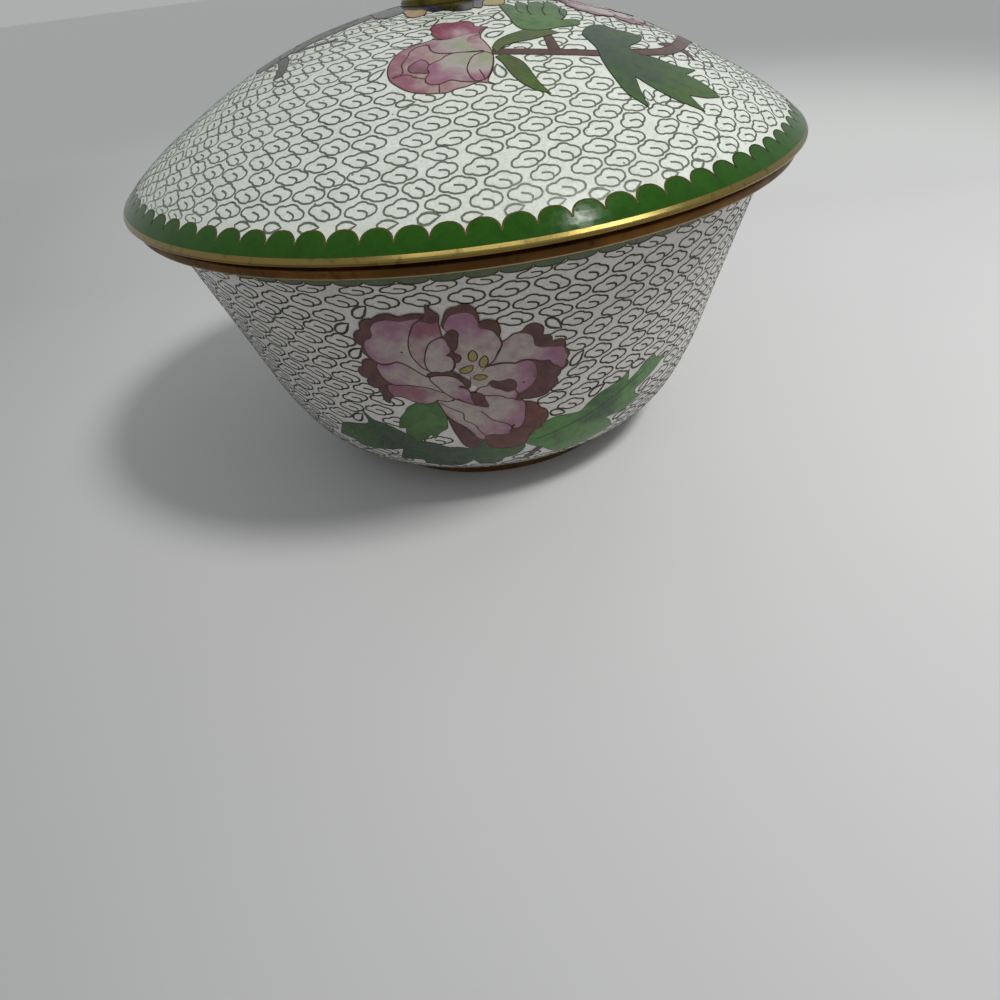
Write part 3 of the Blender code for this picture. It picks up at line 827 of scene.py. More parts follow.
    d.field(ruffle, "-4.5,33 -3,33.2 -1.9,34 -1.6,35.5 -1.2,37.8 -2.5,37.6 -4,36.7 -4.6,35", wire=False)
    d.line("-8.7,35 -8,34.4 -6,35.6 -4.4,36.6 -2.5,37.5 -1.2,37.9")


def draw_front_spray(d):
    """The spray round the front of the bowl: leaves, a stem, and the open peony over them."""
    d.field("leaf_blue", "-43,53c -41,49 -39.5,46.5 -37,45.5 -34,45 -31,44 -31.5,39c -29,42.5 -26,43.5"
            " -23,45.5 -21,47 -19,49 -15,50 -12,51.7 -9,52 -6.5,53c -4,50 2,50 6,53c 6.2,54.5 5,57 3,58.5"
            " 1,59 0,61 -2,62 -5,61.5c -6.5,58.5c -9,61 -12,62 -19,61c -19,59.2 -25.3,59.2c -24.5,56"
            " -23.7,53.5c -27,54.5 -33,55.8 -37,55.7 -38,54.2", fade=(-18, 55, 6, 24))
    d.stem("branch", "6.2,61 8.2,58.4 10,56.4", (1.3, 1.5))
    d.field("leaf_heart", "6,53c 8.5,49 10,47.2 12,46 15,45.5 18,46 20,46 22,44 25,42 28,41 31,40 33,38c"
            " 33,42c 36,40 38,38 41,37c 42,38.7 46,39c 44,41 40,44 36,46c 36,47.5 38.5,50c 33,52.5"
            " 27,52.5c 28.5,54 30,58c 24,60.5 14,61.5 12,59 10.5,57 8,55", fade=(26, 47.5, 7.5, 1.5))
    d.line("9,52.4 16,50.4 24,47.4 32,43.6 38,40.8")
    d.field("leaf_green", "-17,35.7 -19.3,37.3 -20.3,39 -21.8,41 -22.5,43.5 -22.8,44.5c -21,44.3c"
            " -21.2,46.8 -20,48 -19,50c -16.8,48 -15.2,46.5c -14.6,48 -13.8,46.7 -12.8,45.5 -11.2,44.3"
            " -10.9,42 -10.7,39.5 -11.7,37 -12,34.4 -15,34.4", fade=(-14, 40, 3, 9))
    draw_flower(d)


def draw_bud(d):
    """A peony bud on its side, crimson at the tip."""
    d.field("petal_rose", "-5.5,-34.3 -7.5,-34.8 -9.3,-36 -10.8,-37.8 -11.8,-40 -12.2,-42 -12.2,-44"
            " -11.8,-46 -10.6,-48 -9,-50 -7,-51.4 -5,-52.2 -3,-52.6 -1.5,-52.8 0.5,-52.1 2.5,-51.7"
            " 4.5,-50.8 8,-51.8c 6.6,-50.6 6.9,-49.5 7.5,-48 8,-46 8.3,-44 8.3,-42 8.1,-40 7.6,-38"
            " 6.9,-36 6.5,-34.8 6.7,-33.4 7.2,-32 8.3,-30c 5.8,-29.8 0,-31 -4,-34", fade=(2, -43, 6, 13))
    d.field("crimson", "-0.6,-34.2 -1.8,-33.4 -2.6,-32 -3,-30.5 -2.8,-29.6 -3.1,-28.5 -2.8,-27"
            " -1.9,-26.1 -0.5,-25.8 1.5,-26.3 3.8,-26 4.9,-26.6 5.6,-27.8 5.8,-29.4 7,-29.8 8.3,-30c"
            " 6.6,-32 6.4,-33.3 3.4,-33.2 1.2,-34", fade=(2.6, -31.6, 0.2, 3.2))
    d.field("petal_green", "-4.5,-35.2 -0.8,-34.4 1.4,-34 3.4,-33.2 6.4,-33.3 4.8,-33.8 4,-34.7 3.7,-36"
            " 3.9,-37.5 4.5,-38.8 6,-40.4 2,-40.3 -0.8,-40 -2,-39.6 -3,-38.8 -3.6,-37.5 -3.7,-36",
            fade=(4.2, -37.8, 1.6, 4.4), wire=False)
    d.line("-4.5,-35.3 -3.8,-35.8 -3.7,-36.6 -3.6,-37.5 -3,-38.8 -2,-39.6 -0.8,-40 2,-40.3 6.8,-40.4")
    d.line("-3,-33.2 -1.8,-33.9 -0.6,-34.3 0.8,-34.2")
    d.field("petal", "-5.6,-40.8c -6.8,-41.5 -7.9,-42.4 -8.2,-43.6 -7.6,-44.8 -6.2,-45.4 -4.6,-45.9"
            " -4.3,-44.6 -4.1,-43.3 -4.5,-42", fade=(-3, -39.5, 1.5, 3.6))
    d.field("petal_green", "0.8,-40.4 -0.8,-41 -1.6,-42 -2.8,-42.6 -4,-43.3 -4.5,-44.5 -4.2,-45.8"
            " -4.6,-46.8 -5.1,-47.8 -4.9,-49 -4,-49.8 -2.6,-50 -0.4,-49.3 2,-50.2 4.3,-50.4 3.6,-49.3"
            " 3.2,-48 3,-46.6 3.3,-45 3.8,-43.5 4.5,-42.2 5.5,-41.4 7,-41 4,-40.6",
            fade=(4.2, -42.4, 1.4, 4.8))
    d.field("petal_green", "7,-41 5.5,-41.4 4.5,-42.2 3.8,-43.5 3.3,-45 3,-46.6 3.2,-48 3.6,-49.3"
            " 4.3,-50.4 6.2,-50 7.3,-48 7.9,-46 8.2,-44 8.2,-42", fade=(6.6, -41.4, 2.0, 5.2))
    d.line("-4.5,-35.3 -6.5,-35.8 -7.6,-37 -8,-38.5 -9,-40.5 -9.4,-41.8 -9.2,-43.3 -9.5,-44.6"
           " -11.5,-45.3")
    d.line("-11.2,-45 -9,-45 -8,-45.4 -7.2,-46.4 -5.2,-47.6")
    d.line("-2.6,-50 -2.7,-52.6")
    d.line("5.3,-47 6.1,-49.8")


def draw_lid_spray(d):
    """The branch across the front right of the lid, with its leaves, the bud and the second peony."""
    d.stem("branch", "20.7,-41 20.3,-38 19.8,-33.6", (2.4, 1.7))
    d.stem("branch", "8.4,-41 14,-41.2 20,-41 25,-40.3 30,-39.3 36,-36.5 40,-34.5", (1.9, 2.3),
           fade=(20, -40, 5, 40))
    d.stem("branch", "49.4,-24.4 47.4,-25.6 44.8,-27.2", (3.4, 0.7))
    d.stem("branch", "50.2,-23.2 51.4,-26 52.6,-29.2", (2.8, 0.5))
    d.stem("branch", "36,-36.8 41,-34 45,-31 48.4,-26.6 51.5,-20.5 54,-14 57,-6 60,4 61.5,12 61,20",
           (2.2, 4.0), fade=(36, -38, 5, 60))
    d.field("leaf_olive", "8.7,-43c 9.8,-45 10.5,-47 11.5,-49.5 13,-51.8 14.6,-53.3 18,-54.7c 17,-53"
            " 16.2,-51.5 15.3,-49 14.5,-46.5 13.5,-44.5 12,-43 10.5,-42", fade=(13, -46, 2, 7))
    d.field("leaf_olive", "8.4,-39.4c 9.4,-37 11.6,-34.6 14.6,-32.5 17,-30.5 20.3,-31 22.4,-32.3c"
            " 19.6,-34.3 15.7,-36.6 12.4,-37.9 10.3,-39.6 9.2,-41.4", fade=(14, -36, 2, 12))
    # A leaf with five lobes, each with its own vein, whose tip curls away to the right
    d.field("leaf_green", "11.8,-15.6c 12.4,-21 13.2,-25.2 13.7,-28.7 15.1,-31.4 17.6,-31.9 19.9,-31.3"
            " 23.1,-29.3 25.7,-28 27.7,-25.8 27.4,-23.5 25.8,-24 23.8,-25c 25,-22.4 25.9,-19.1"
            " 25.8,-15.8c 24.8,-16.6 24.4,-17.6c 24.6,-14.6 24.2,-12 22.8,-9.8c 21.8,-12 21.5,-15.4c"
            " 21.3,-12.6 20.5,-10.6c 19,-12 17.7,-17c 17.6,-14 16.4,-12.2c 15.4,-14.4 15.3,-17.6c"
            " 14.4,-15.8 13.4,-14.4c", fade=(18, -27, 3, 12))
    d.line("15.3,-17.4 15.2,-20 16,-22.4", width=0.3)
    d.line("17.7,-16.8 17.4,-20 17.8,-23.4", width=0.34)
    d.line("21.5,-15.2 20.6,-19 20.8,-23", width=0.34)
    d.line("24.4,-17.4 24.2,-20 24.9,-22.6", width=0.34)
    d.field("leaf_blue", "27.8,-29.8 29.2,-27 31.4,-24.9 33.3,-24.4 34.8,-25.7 36.4,-25.4 41.2,-25.6c"
            " 40.2,-28.8 38.4,-31.6 36.8,-34 38,-36 42,-36 46.5,-36.8 51.3,-35.5c 49,-38.5 48,-39.5c"
            " 52,-41.5 54.5,-45c 51,-47.2 46.8,-48.3c 49.2,-52.8c 43,-51 38.5,-48.3 35.8,-46c 36,-50"
            " 36.8,-55.8c 32.8,-51.8 31.5,-48.5 30.5,-45.5 29.8,-42.5 29.2,-37 28,-34 27.3,-32",
            fade=(33, -36, 5, 20))
    draw_bud(d)


def draw_butterfly(d):
    """A butterfly from above, with long feelers. Its head is at 0,0 and it flies towards -y."""
    d.stem("wing_dusk", "-1.6,1 -0.6,-2.6 0.4,-7 0.7,-11 0.5,-14 -0.1,-16.4", (2.6, 2.3))
    d.stem("wing_dusk", "1.6,0 3.6,-2.6 6.6,-5 9.6,-6.8 13,-8.2", (1.5, 1.0))
    d.field("wing_dusk", "1,2 2,-2.2 8,-1.3 14,-0.7 20,1.4 23,6 20,11 13,12 6,9 1.4,5",
            fade=(10, 5, 3, 12))
    d.field("wing_dusk", "-1,2 -1.4,-3.2 -4,-3.6 -7,-2 -8.6,5 -9.4,13 -8,18 -5,16 -2.4,12 -1.4,6",
            fade=(-5, 5, 3, 12))
    d.field("wing_ochre", "1.6,9.6 6,11 11,13.4 12,17 9,20.4 5.4,18.4 4.4,22.6c 2,18 1,13")
    d.field("wing_navy", "10,7.4 14,6.6 17,8.4 14.6,11 11,10.6")
    d.field("wing_red", "5,13 8,14.6 8,17.4 5,16.4")
    d.field("wing_black", "0,-2 1.5,-0.6 1.8,2 1.5,7 1,13 0,17 -1,13 -1.5,7 -1.8,2 -1.5,-0.6")


def draw_lid_top(d):
    """Dark rocks and petals of enamel that ring the knob."""
    d.field("wing_grey", "-17,4 -16,-4 -14.6,-11 -12,-13.6 -9.4,-12.6 -8,-6 -8,4", fade=(-12, -6, 3, 9))
    d.field("wing_ochre", "-8.6,-10 -8.3,-14 -7.6,-17.2 -6.1,-18.9 -4.3,-18.2 -3.6,-15.4 -3.6,-9")
    d.field("wing_yellow", "7.4,-6 7.6,-12 8.5,-15.2 10.4,-15.9 12.2,-15.4 13.4,-11.2 13.2,-6 12,4 9,4")
    d.field("wing_dusk", "-9,6 -9,-4 -7.4,-10.4 -5,-12.6 -3,-8 -4,2")
    d.field("wing_grey", "4,-6 5.6,-16 7.4,-17.6 8.6,-12 9.6,-4 8,3")
    d.field("wing_navy", "-5.6,0 -5.2,-9 -3.6,-14.4 -1.6,-17 1,-16 1,-4")
    d.field("wing_black", "-2,2 -1.4,-12 0.4,-16.6 3,-18.8 5.4,-18.4 6.4,-14 6,-4 4,4")
    d.field("wing_navy", "8,-2 16,1 19,7 16,12 9,11 5,6")
    d.field("wing_grey", "-6,4 0,12 -2,19 -9,20 -14,15 -13,8")
    d.field("wing_ochre", "1,11 8,10 12,15 8,21 2,20 -1,16")
    d.field("wing_black", "-9,3 -4,8 0,10.6 5,9 9,3 9,-3 4,-9 -4,-9 -9,-3")


# ---------------------------------------------------------------- clouds and borders

CLOUD = ("3.35,-0.1 3.05,-0.85 2.2,-1.35 1.2,-1.6c 0.9,-1.95 0.1,-2 -0.8,-1.95 -1.5,-1.6 -1.85,-1.3"
         " -2.6,-1.15 -3.2,-0.8 -3.35,-0.2 -3,0.6 -2.3,1 -1.5,1.1 -1.15,1.4 -0.6,1.85 0.2,2 1,1.8 1.5,1.35"
         " 2.4,1.1 3.1,0.65")
CLOUD_HOOK = "-0.75,0.1 0.1,-0.05 0.9,-0.3 1.35,-0.75 1.3,-1.3"
DROP = "1.9,0.15c 0.9,0.75 0,0.95 -0.9,0.85 -1.65,0.3 -1.6,-0.4 -0.8,-0.9 0.1,-0.85 1,-0.4"
# One scallop, from -1 to 1 across and 1 high
SCALLOP = ((-1, 0), (-0.93, 0.36), (-0.7, 0.72), (-0.36, 0.94), (0, 1), (0.36, 0.94), (0.7, 0.72),
           (0.93, 0.36), (1, 0))


def bent(text, closed, width):
    """A small wire for repeating, bent with only a few faces."""
    return (bend(text, closed, SMALL_BEND), WIRE_PROUD, closed, width)


def cloud_rows(surface, rows, pitch, wide, tall, lean, drift=0.0):
    """Clouds in rows round the piece, each a little out of its place.

    The rows sit a little off the middle: drift is how much nearer to the knob they are on the right.
    """
    places = []
    for along, shift in rows:
        girth = surface.girth(along)
        count = round(math.tau * girth / pitch)
        for i in range(count):
            right, down, tilt, wider, taller = RANDOM.normal(0, 1, 5) * CLOUD_STRAY
            angle = FRONT + (shift + right) / girth + math.tau * i / count
            places.append((angle, along + down - drift * math.cos(angle), lean + tilt, wide * (1 + wider),
                           tall * (1 + taller)))
    return np.array(places)


def eased(surface, places, rounds=24, ease_across=0.22, ease_up=0.08, most_up=0.05):
    """The same clouds, moved a little so that none touches its neighbours.

    In each round clouds that are too near push each other apart, more easily along their rows than across.
    """
    places = places.copy()
    for _ in range(rounds):
        angle, along, _, wide, tall = places.T
        girth = surface.girth(along)
        across = half_turn(angle[:, None] - angle) * girth
        up = along[:, None] - along
        # 1 where two clouds just have room, and a cloud is far from itself
        far = np.hypot(across / (CLOUD_ROOM[0] * wide), up / (CLOUD_ROOM[1] * tall))
        np.fill_diagonal(far, 9.0)
        press = np.clip(1.0 / far - 1.0, 0.0, 0.4)
        places[:, 0] += np.sum(press * across, axis=1) * ease_across / girth
        places[:, 1] += np.clip(np.sum(press * up, axis=1) * ease_up, -most_up, most_up)
    return places


def grow_tree(surface, lines):
    """The points of some lines on a piece, sorted for looking up the nearest one."""
    angle, along = (np.concatenate([np.ravel(part) for part in parts]) for parts in zip(*lines))
    points = surface.wrapped(angle, along, 0.0)
    tree = KDTree(len(points))
    for i, point in enumerate(points.tolist()):
        tree.insert(point, i)
    tree.balance()
    return tree


def nearest(surface, tree, angle, along):
    """Distances in mm to the nearest point of a tree, and which it is."""
    found = [tree.find(point)[1:] for point in surface.wrapped(angle, along, 0.0).tolist()]
    which, distance = zip(*found)
    return np.array(distance) / MM, np.array(which)


def room_beside(surface, clouds, others, drawings, first, last, space):
    """Points beside the pictures with that much space all round, their room, and the tree of all wires."""
    pictures = [drawing.around(*loop.T) for drawing in drawings
                for loop, _, is_field in drawing.stack if is_field]
    lines = [spread(surface, clouds, *bend(CLOUD, True, SMALL_BEND).T), *pictures]
    if len(others):
        lines.append(spread(surface, others, *bend(DROP, True, SMALL_BEND).T))
    wires = grow_tree(surface, lines)

    angle, along = [], []
    for row in np.arange(first, last, DROP_SEARCH):
        steps = np.arange(0, math.tau, DROP_SEARCH / surface.girth(row))
        angle.append(steps)
        along.append(np.full(len(steps), row))
    angle, along = np.concatenate(angle), np.concatenate(along)
    beside = nearest(surface, grow_tree(surface, pictures), angle, along)[0] < DROP_REACH
    for drawing in drawings:
        beside &= ~drawing.covers(angle, along)
    angle, along = angle[beside], along[beside]
    room, _ = nearest(surface, wires, angle, along)
    angle, along, room = (values[room > space] for values in (angle, along, room))

    # Leaves out the middles of the clouds
    _, which = nearest(surface, grow_tree(surface, [clouds[:, :2].T]), angle, along)
    cloud = clouds[which]
    across = half_turn(angle - cloud[:, 0]) * surface.girth(along)
    up = along - cloud[:, 1]
    off = np.hypot(across / (CLOUD_HALF[0] * cloud[:, 3]), up / (CLOUD_HALF[1] * cloud[:, 4])) > 1
    return angle[off], along[off], room[off], wires


def fill_gaps(surface, clouds, others, drawings, first, last, space):
    """Places for drops, where clouds, others (drops too) and a picture leave that much space all round."""
    angle, along, room, wires = room_beside(surface, clouds, others, drawings, first, last, space)
    tilts = np.radians([0, 25, 50, 90, -50, -25])
    chosen = []
    taken = np.zeros((0, 3))
    for i in np.argsort(-room):
        point = surface.wrapped(angle[i], along[i], 0.0)
        if len(taken) and np.linalg.norm(taken - point, axis=1).min() < DROP_APART * MM:
            continue
        # Turned the way that leaves the most room for its length
        size = min(DROP_LARGEST, room[i] / DROP_ROOM)
        ends = np.array([DROP_HALF, -DROP_HALF]) * size
        clear = []
        for tilt in tilts:
            around = angle[i] + ends * math.cos(tilt) / surface.girth(along[i])
            clear.append(nearest(surface, wires, around, along[i] - ends * math.sin(tilt))[0].min())
        if max(clear) < space * DROP_END_ROOM:
            continue
        taken = np.vstack([taken, point])
        tilt = tilts[int(np.argmax(clear))] + RANDOM.normal(0, 0.12)
        chosen.append((angle[i], along[i], tilt, size, size))
    return np.array(chosen).reshape(-1, 5)


def uncovered(surface, places, drawings):
    """The clouds that the pictures leave at least half in view."""
    ring = np.linspace(0, math.tau, RING_POINTS + 1)[:-1]
    points = [(0, 0), *zip(CLOUD_RING[0] * np.cos(ring), CLOUD_RING[1] * np.sin(ring))]
    covered = np.zeros(len(places))
    for across, up in points:
        along = places[:, 1] - up
        angle = places[:, 0] + across / surface.girth(along)
        covered += np.any([drawing.covers(angle, along) for drawing in drawings], axis=0)
    return places[covered < TOO_COVERED]


def make_clouds(name, surface, clouds, drops, width, wire):
    """The cloud wires of one side, in one piece, and the drops between them in another."""
    cloud = wire_mesh("cloud", [bent(CLOUD, True, width), bent(CLOUD_HOOK, False, width)])
    drop = wire_mesh("drop", [bent(DROP, True, width)])
    for piece, template, places in ((name + "_clouds", cloud, clouds), (name + "_drops", drop, drops)):
        add_piece(piece, placed(piece, template, surface, places), [wire])


def make_border(name, surface, count, cusp, rise, edge, towards, shift, colour, wire):
    """Scallops round an edge. towards is 1 where they point to smaller lengths along the outline."""
    half = math.pi * surface.girth(cusp) / count
    flare = surface.girth(edge) / surface.girth(cusp)
    base = abs(edge - cusp) * -towards
    lobe = [f"{x * half * 0.97},{y * rise * towards}" for x, y in SCALLOP]
    outline = [f"{-half * flare},{base}c", f"{-half},{-0.1 * towards}c", lobe[0] + "c", *lobe[1:-1],
               lobe[-1] + "c", f"{half},{-0.1 * towards}c", f"{half * flare},{base}c"]
    start = FRONT + shift / surface.girth(cusp)
    places = [(start + math.tau * (i + 0.5) / count, cusp, 0.0, 1.0, 1.0) for i in range(count)]
    field = slab(bend(" ".join(outline), closed=True, step=0.7), FIELD_LIFT, 0)
    mesh = placed(name, field, surface, places)
    # Paler at the tip of each scallop, and deeper towards the edge, where the paste pooled
    height = np.tile(read_points(field)[:, 1] * towards / rise, count)
    write_shades(mesh, np.clip(0.35 - 0.3 * height, 0, 1))
    add_piece(name, mesh, [colour])
    line = wire_mesh("scallop", [(bend(" ".join(lobe), step=0.8), FIELD_LIFT + OVER, False, BORDER_WIRE)])
    wires = name + "_wires"
    add_piece(wires, placed(wires, line, surface, places), [wire])


# ---------------------------------------------------------------- turned pieces

def arc(centre, radius, first, last, count):
    """Points of an arc, from one heading to another in degrees, with 0 outwards and 90 up."""
    turns = [math.radians(first + (last - first) * i / count) for i in range(count + 1)]
    return [(centre[0] + radius * math.cos(t), centre[1] + radius * math.sin(t)) for t in turns]


def line_with_counter_enamel(piece, middle_height, foot_radius=0.0):
    """Gives the faces that look to the middle of the hollow, and those inside the foot, a second enamel."""
    middle = Vector((0, 0, middle_height * MM))
    for face in piece.data.polygons:
        centre = face.center
        inner = face.normal.dot(middle - centre) > 0
        under = face.normal.z < -0.5 and math.hypot(centre.x, centre.y) < foot_radius * MM
        face.material_index = 1 if inner or under else 0


def make_shells():
    """The bowl and the lid: copper sheet under white enamel, and turquoise inside."""
    outer = BOWL.corners(0, BOWL.length)
    inner = BOWL.corners(BOWL.length, 0, -WALL)
    # Both faces end on the axis
    outer[-1] = (0.0, outer[-1][1])
    inner[0] = (0.0, inner[0][1])
    bowl = turned("bowl_shell", outer[::-1] + inner[::-1], False,
                  ["white_bowl_painted_warm_shade", "counter"], "bowl_body")
    line_with_counter_enamel(bowl, middle_height=55.0, foot_radius=FOOT_HIGH.x)
    outer = DOME.corners(0, DOME.length)
    inner = DOME.corners(DOME.length, 0, -WALL)
    outer[0] = (0.0, outer[0][1])
    inner[-1] = (0.0, inner[-1][1])
    lid = turned("lid_shell", outer + inner, False, ["white", "counter"], "lid_body")
    line_with_counter_enamel(lid, middle_height=60.0)


def make_mouth_band():
    """The band round the bowl's mouth, rounded outside and closed over the lip."""
    top = BAND_HIGH.z
    bottom = BAND_LOW.z - 0.7
    nose = 0.55
    lip = BOWL.section(0.0)
    inner_lip = BOWL.section(0.0, -WALL)
    outline = [(inner_lip[0] - 0.4, top), *arc((BAND_HIGH.x - nose, top - nose), nose, 90, 0, 5)]
    outline += arc((BAND_HIGH.x - nose, bottom + nose), nose, 0, -90, 5)
    outline += [(lip[0] + 0.5, bottom), (lip[0] - 0.2, bottom), (lip[0] - 0.2, lip[1])]
    outline += [inner_lip, (inner_lip[0] - 0.4, top - 0.45)]
    turned("mouth_band", outline, True, ["band"], "bowl_rim")


def make_bead():
    """The bead round the lid's edge, with the collar that drops inside the bowl's mouth."""
    seat = DOME.section(DOME.length, -0.02)
    inner_seat = DOME.section(DOME.length, -WALL)
    bottom = BAND_HIGH.z + 1.1
    nose = BEAD_HIGH.x + 0.45
    # Handling has worn the upper half of the bead to a slope, and below it stands upright
    outline = [(seat[0] - 0.5, seat[1] - 0.3), (seat[0], seat[1] + 0.02), (nose - 0.2, seat[1] - 0.52),
               (nose - 0.08, seat[1] - 0.69), (nose, seat[1] - 0.92), (nose, bottom + 0.22),
               (nose - 0.1, bottom + 0.06), (nose - 0.3, bottom)]
    # Further in, a step comes down to sit on the mouth band, and inside it hangs the collar
    step = 79.4
    rest = BAND_HIGH.z + 0.05
    collar_outside = 71.8
    collar_inside = 70.8
    collar_top = bottom + 0.6
    outline += [(step, bottom), (step - 0.2, rest), (collar_outside, rest), (collar_outside, BEAD_LOW.z),
                (collar_inside, BEAD_LOW.z), (collar_inside, collar_top)]
    outline += [(inner_seat[0] - 0.3, collar_top), inner_seat]
    turned("lid_bead_and_collar", outline, True, ["bead"], "lid_rim")


def make_foot():
    """The foot ring, from the floor up into the bowl's rounded bottom."""
    radius = FOOT_HIGH.x
    inner = radius - 2.4
    bowl_radius, bowl_height = BOWL.section(np.linspace(40, BOWL.length, 400))
    top = np.interp([radius - 0.6, inner], bowl_radius[::-1], bowl_height[::-1])
    outline = [(radius - 0.6, top[0] + 0.1), (radius, 0.6), (radius - 0.08, 0.2), (radius - 0.3, 0.0),
               (inner + 0.2, 0.0), (inner, 0.2), (inner, top[1] + 0.1)]
    turned("foot", outline, True, ["foot"], "foot_ring")


def make_knob():
    """A ball with a small button, on a waisted neck that spreads over the lid's crown."""
    top = KNOB_HIGH.z
    crown = top - 21.2
    base = KNOB_HIGH.x
    ball = (0.0, crown + 12.2)
    seat = DOME.section(base)[1]
    outline = [(0.0, top), (0.7, top - 0.12), (1.3, top - 0.6), (1.5, top - 1.3)]
    outline += arc(ball, 7.4, 77, -56, 20)
    outline += [(4.6, crown + 5.8), (5.0, crown + 5.3), (4.8, crown + 4.9), (3.7, crown + 4.4),
                (3.6, crown + 3.6), (3.9, crown + 2.9), (4.9, crown + 2.2), (6.4, crown + 1.4)]
    outline += [(8.0, seat + 1.7), (9.2, seat + 1.2), (base, seat + 0.7), (base, seat - 0.05),
                (base - 1, seat - 0.4), (0.0, seat - 0.4)]
    turned("lid_knob", outline, False, ["knob"], "knob")


# ---------------------------------------------------------------- putting it together

def make_bowl_clouds(drawings):
    """The clouds round the bowl and the drops beside its pictures, the front half and the back half."""
    along, shift = BOWL_ROWS[-1]
    rows = [*BOWL_ROWS]
    rows += [(along + BOWL_ROW_STEP * i, shift + BOWL_ROW_SHIFT * i)
             for i in range(1, BOWL_EVEN_ROWS + 1)]
    flat_row = cloud_rows(BOWL, rows[:1], pitch=8.5, wide=1.02, tall=0.58, lean=0.0)
    full_rows = cloud_rows(BOWL, rows[1:], pitch=8.05, wide=1.04, tall=0.83, lean=-0.03)
    places = uncovered(BOWL, eased(BOWL, np.concatenate([flat_row, full_rows])), drawings)
    all_drops = fill_gaps(BOWL, places, [], drawings, first=5.0, last=68.0, space=1.25)
    for side, way in (("front", -1), ("back", 1)):
        clouds, drops = (half[np.sin(half[:, 0]) * way > 0] for half in (places, all_drops))
        make_clouds("bowl_" + side, BOWL, clouds, drops, BOWL_WIRE, "wire")


def make_lid_clouds(drawing):
    """The clouds over the lid, the drops beside its picture and those above the border."""
    along, shift = LID_ROWS[-1]
    rows = [*LID_ROWS]
    rows += [(along - LID_ROW_STEP * i, shift + LID_ROW_SHIFT * (i % 2))
             for i in range(1, LID_EVEN_ROWS + 1)]
    places = eased(DOME, cloud_rows(DOME, rows, pitch=7.5, wide=0.98, tall=0.92, lean=0.0, drift=-0.8))
    # The gap above the border holds drops at the front and the back, and small clouds at the left
    border_drops = cloud_rows(DOME, [(82.35, 0.6)], pitch=7.7, wide=1.08, tall=1.15, lean=0.0)
    border_drops = border_drops[np.abs(np.cos(border_drops[:, 0])) < 0.61]
    small_clouds = cloud_rows(DOME, [(82.0, 2.0)], pitch=7.0, wide=0.85, tall=0.6, lean=0.0)
    small_clouds = small_clouds[np.cos(small_clouds[:, 0]) < -0.63]
    places = uncovered(DOME, np.concatenate([places, small_clouds]), [drawing])
    drops = fill_gaps(DOME, places, border_drops, [drawing], first=12.0, last=80.0, space=1.05)
    make_clouds("lid", DOME, places, np.concatenate([border_drops, drops]), LID_WIRE, "wire_lid_painted_lighter")


make_shells()
make_mouth_band()
make_bead()
make_foot()
make_knob()

front = Drawing("bowl_front", BOWL, FRONT)
front.move(down=True)
draw_front_spray(front)

back = Drawing("bowl_back", BOWL, -FRONT)
back.move(down=True, flip=True)
draw_front_spray(back)

lid = Drawing("lid", DOME, petal_wire="wire_petal_painted_lighter")
lid.move(origin=(-2, 30), to=(40, 4.5), tilt=100, size=0.8, down=True)
draw_flower(lid, petal="petal_faded", rose="petal_faded", ruffle="ruffle_faded")
lid.move()
draw_lid_spray(lid)
lid.move(to=(-36.6, -10))
draw_butterfly(lid)
lid.move()
draw_lid_top(lid)

bowl_drawings = [front, back]
for side, turn, tilt in (("right", 0.35, 200), ("left", math.pi - 0.35, 160)):
    drawing = Drawing(f"bowl_{side}_butterfly", BOWL, turn)
    drawing.move(to=(0, -24), tilt=tilt, size=0.75)
    draw_butterfly(drawing)
    bowl_drawings.append(drawing)

for drawing in [*bowl_drawings, lid]:
    drawing.make()
make_bowl_clouds(bowl_drawings)
make_lid_clouds(lid)
make_border("lid_border", DOME, LID_LOBES, LID_CUSP, LID_LOBE_RISE, edge=DOME.length, towards=1,
            shift=-1.1, colour="border", wire="wire_gold")
make_border("bowl_border", BOWL, BOWL_LOBES, BOWL_CUSP, BOWL_LOBE_RISE, edge=0.0, towards=-1,
            shift=-2.3, colour="border_low", wire="wire")
bpy.data.objects.remove(WIRE_SECTION)


# ---------------------------------------------------------------- floor, light and camera

LIGHT_COLOUR = linear("fffefa")[:3]


def put(name, data, place):
    """Puts the floor, a light or the camera in the scene. Places are in metres here."""
    made = bpy.data.objects.new(name, data)
    made.location = place
    bpy.context.scene.collection.objects.link(made)
    return made


def make_floor():
    """A plain pale floor, paler far behind, like a lit backdrop."""
    form = bmesh.new()
    bmesh.ops.create_grid(form, x_segments=1, y_segments=1, size=6.0)
    mesh = to_mesh(form, "floor")
    paper, shader, where, add = new_material("plain_pale_floor")
    patches = add("TexNoise", {"Vector": where, "Scale": 1 / (90.0 * MM)}, noise_dimensions="4D")
    tint = add("Mix", {0: patches, 6: "c4c5c6", 7: "c9cacb"}, 2, data_type="RGBA")
    behind = add("SeparateXYZ", {0: where}, "Y")
    reach = add("MapRange", {"Value": behind, "From Min": 0.15, "From Max": 0.5})
    tint = add("Mix", {0: reach, 6: tint, 7: "e9ebea"}, 2, data_type="RGBA")
    feed(paper, shader, Base_Color=tint)
    shader.inputs["Roughness"].default_value = 0.6
    mesh.materials.append(paper)
    floor = put("floor", mesh, (0, 0, 0))


def make_world():
    """Even light from all round."""
    world = bpy.data.worlds.new("studio")
    world.use_nodes = True
    world.node_tree.nodes["Background"].inputs["Color"].default_value = linear("f0f2f2")
    world.node_tree.nodes["Background"].inputs["Strength"].default_value = 0.48
    bpy.context.scene.world = world


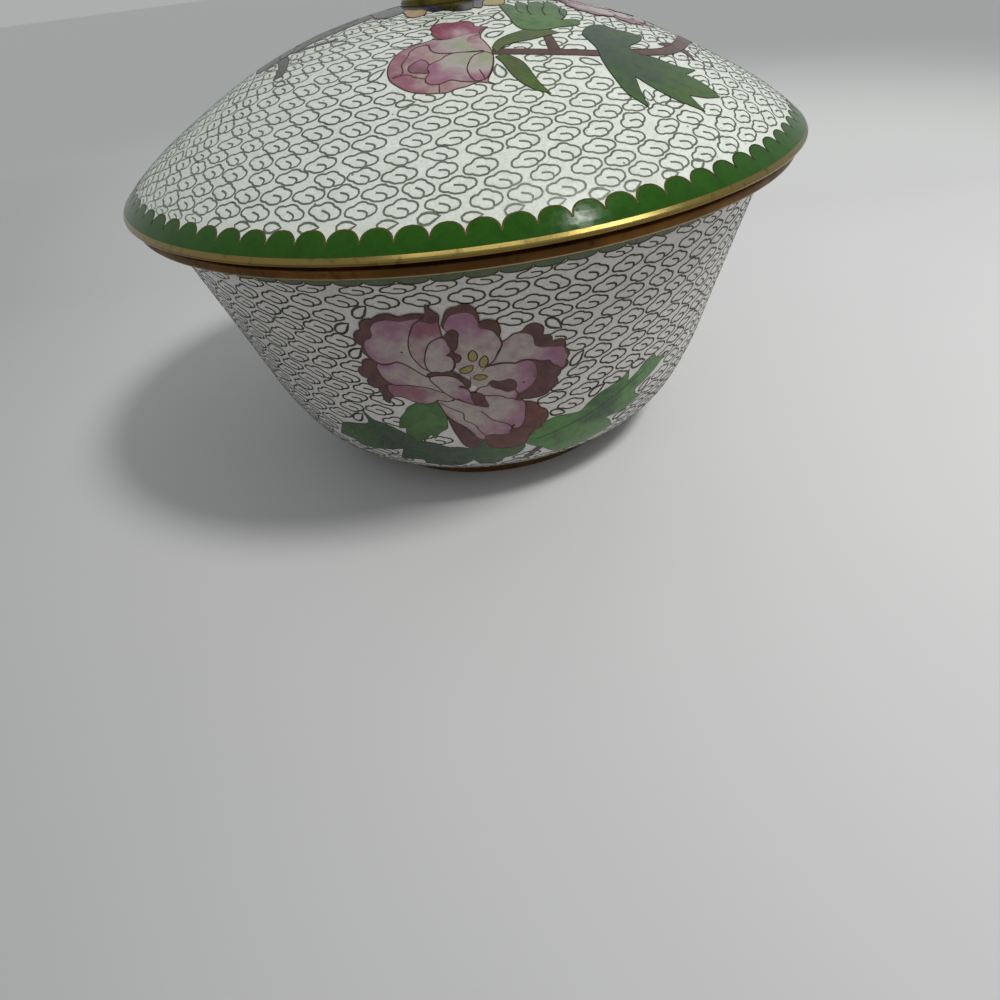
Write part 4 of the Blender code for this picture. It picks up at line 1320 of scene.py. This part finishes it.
def soft_spot(place, aim, power):
    """A soft spotlight whose pool of light thins out towards its edge. It shows in no reflection."""
    beam = bpy.data.lights.new("soft_spot", "SPOT")
    beam.energy = power
    beam.shadow_soft_size = 0.1
    beam.spot_size = 0.926    # radians, from edge to edge
    beam.spot_blend = 1.0
    beam.color = LIGHT_COLOUR
    spot = put("soft_spot", beam, place)
    spot.rotation_euler = (Vector(aim) - spot.location).to_track_quat("-Z", "Y").to_euler()
    spot.visible_glossy = False


def shine_panel(name, place, aim, wide, tall, power, turn=0.0):
    """A panel that only shows as a reflection in brass and glaze. turn is in degrees, about its axis."""
    light = bpy.data.lights.new(name, "AREA")
    light.shape = "RECTANGLE"
    light.size = wide
    light.size_y = tall
    light.energy = power
    light.color = LIGHT_COLOUR
    lamp = put(name, light, place)
    lamp.visible_diffuse = False
    facing = (Vector(aim) - Vector(place)).to_track_quat("-Z", "Y")
    lamp.rotation_euler = (facing @ Quaternion((0, 0, 1), math.radians(turn))).to_euler()


def make_camera(place, yaw, pitch, roll, focal_mm):
    """The camera. yaw is to the right, pitch down and roll clockwise, in radians."""
    lens = bpy.data.cameras.new("camera")
    lens.sensor_width = 36.0
    lens.lens = focal_mm
    lens.clip_start = 0.005
    camera = put("camera", lens, place)
    ahead = Vector((math.sin(yaw) * math.cos(pitch), math.cos(yaw) * math.cos(pitch), -math.sin(pitch)))
    level = Vector((math.cos(yaw), -math.sin(yaw), 0))
    down = ahead.cross(level)
    right = math.cos(roll) * level + math.sin(roll) * down
    under = -math.sin(roll) * level + math.cos(roll) * down
    axes = Matrix((right, -under, -ahead)).transposed().to_4x4()
    camera.matrix_world = Matrix.Translation(place) @ axes
    bpy.context.scene.camera = camera


make_floor()
make_world()
soft_spot(place=(0.455, -0.308, 0.845), aim=(0.175, 0.065, 0), power=32.0)
# Window light that runs along the bead at the right and the front, and a small lamp over the border
shine_panel("right_panel", (0.54, -0.382, 0.753), (0.045, -0.06, 0.074), wide=0.36, tall=0.15, power=1.6,
            turn=-29)
shine_panel("front_panel", (-0.022, -0.501, 0.869), (0, -0.08, 0.074), wide=0.6, tall=0.19, power=0.75)
shine_panel("small_panel", (0.38, -0.1, 0.97), (0.045, -0.06, 0.074), wide=0.07, tall=0.07, power=0.8)
make_camera((0, -0.19626, 0.11336), yaw=-0.0109, pitch=0.6702, roll=0.1335, focal_mm=25.21)
bpy.context.scene.view_settings.view_transform = "Standard"
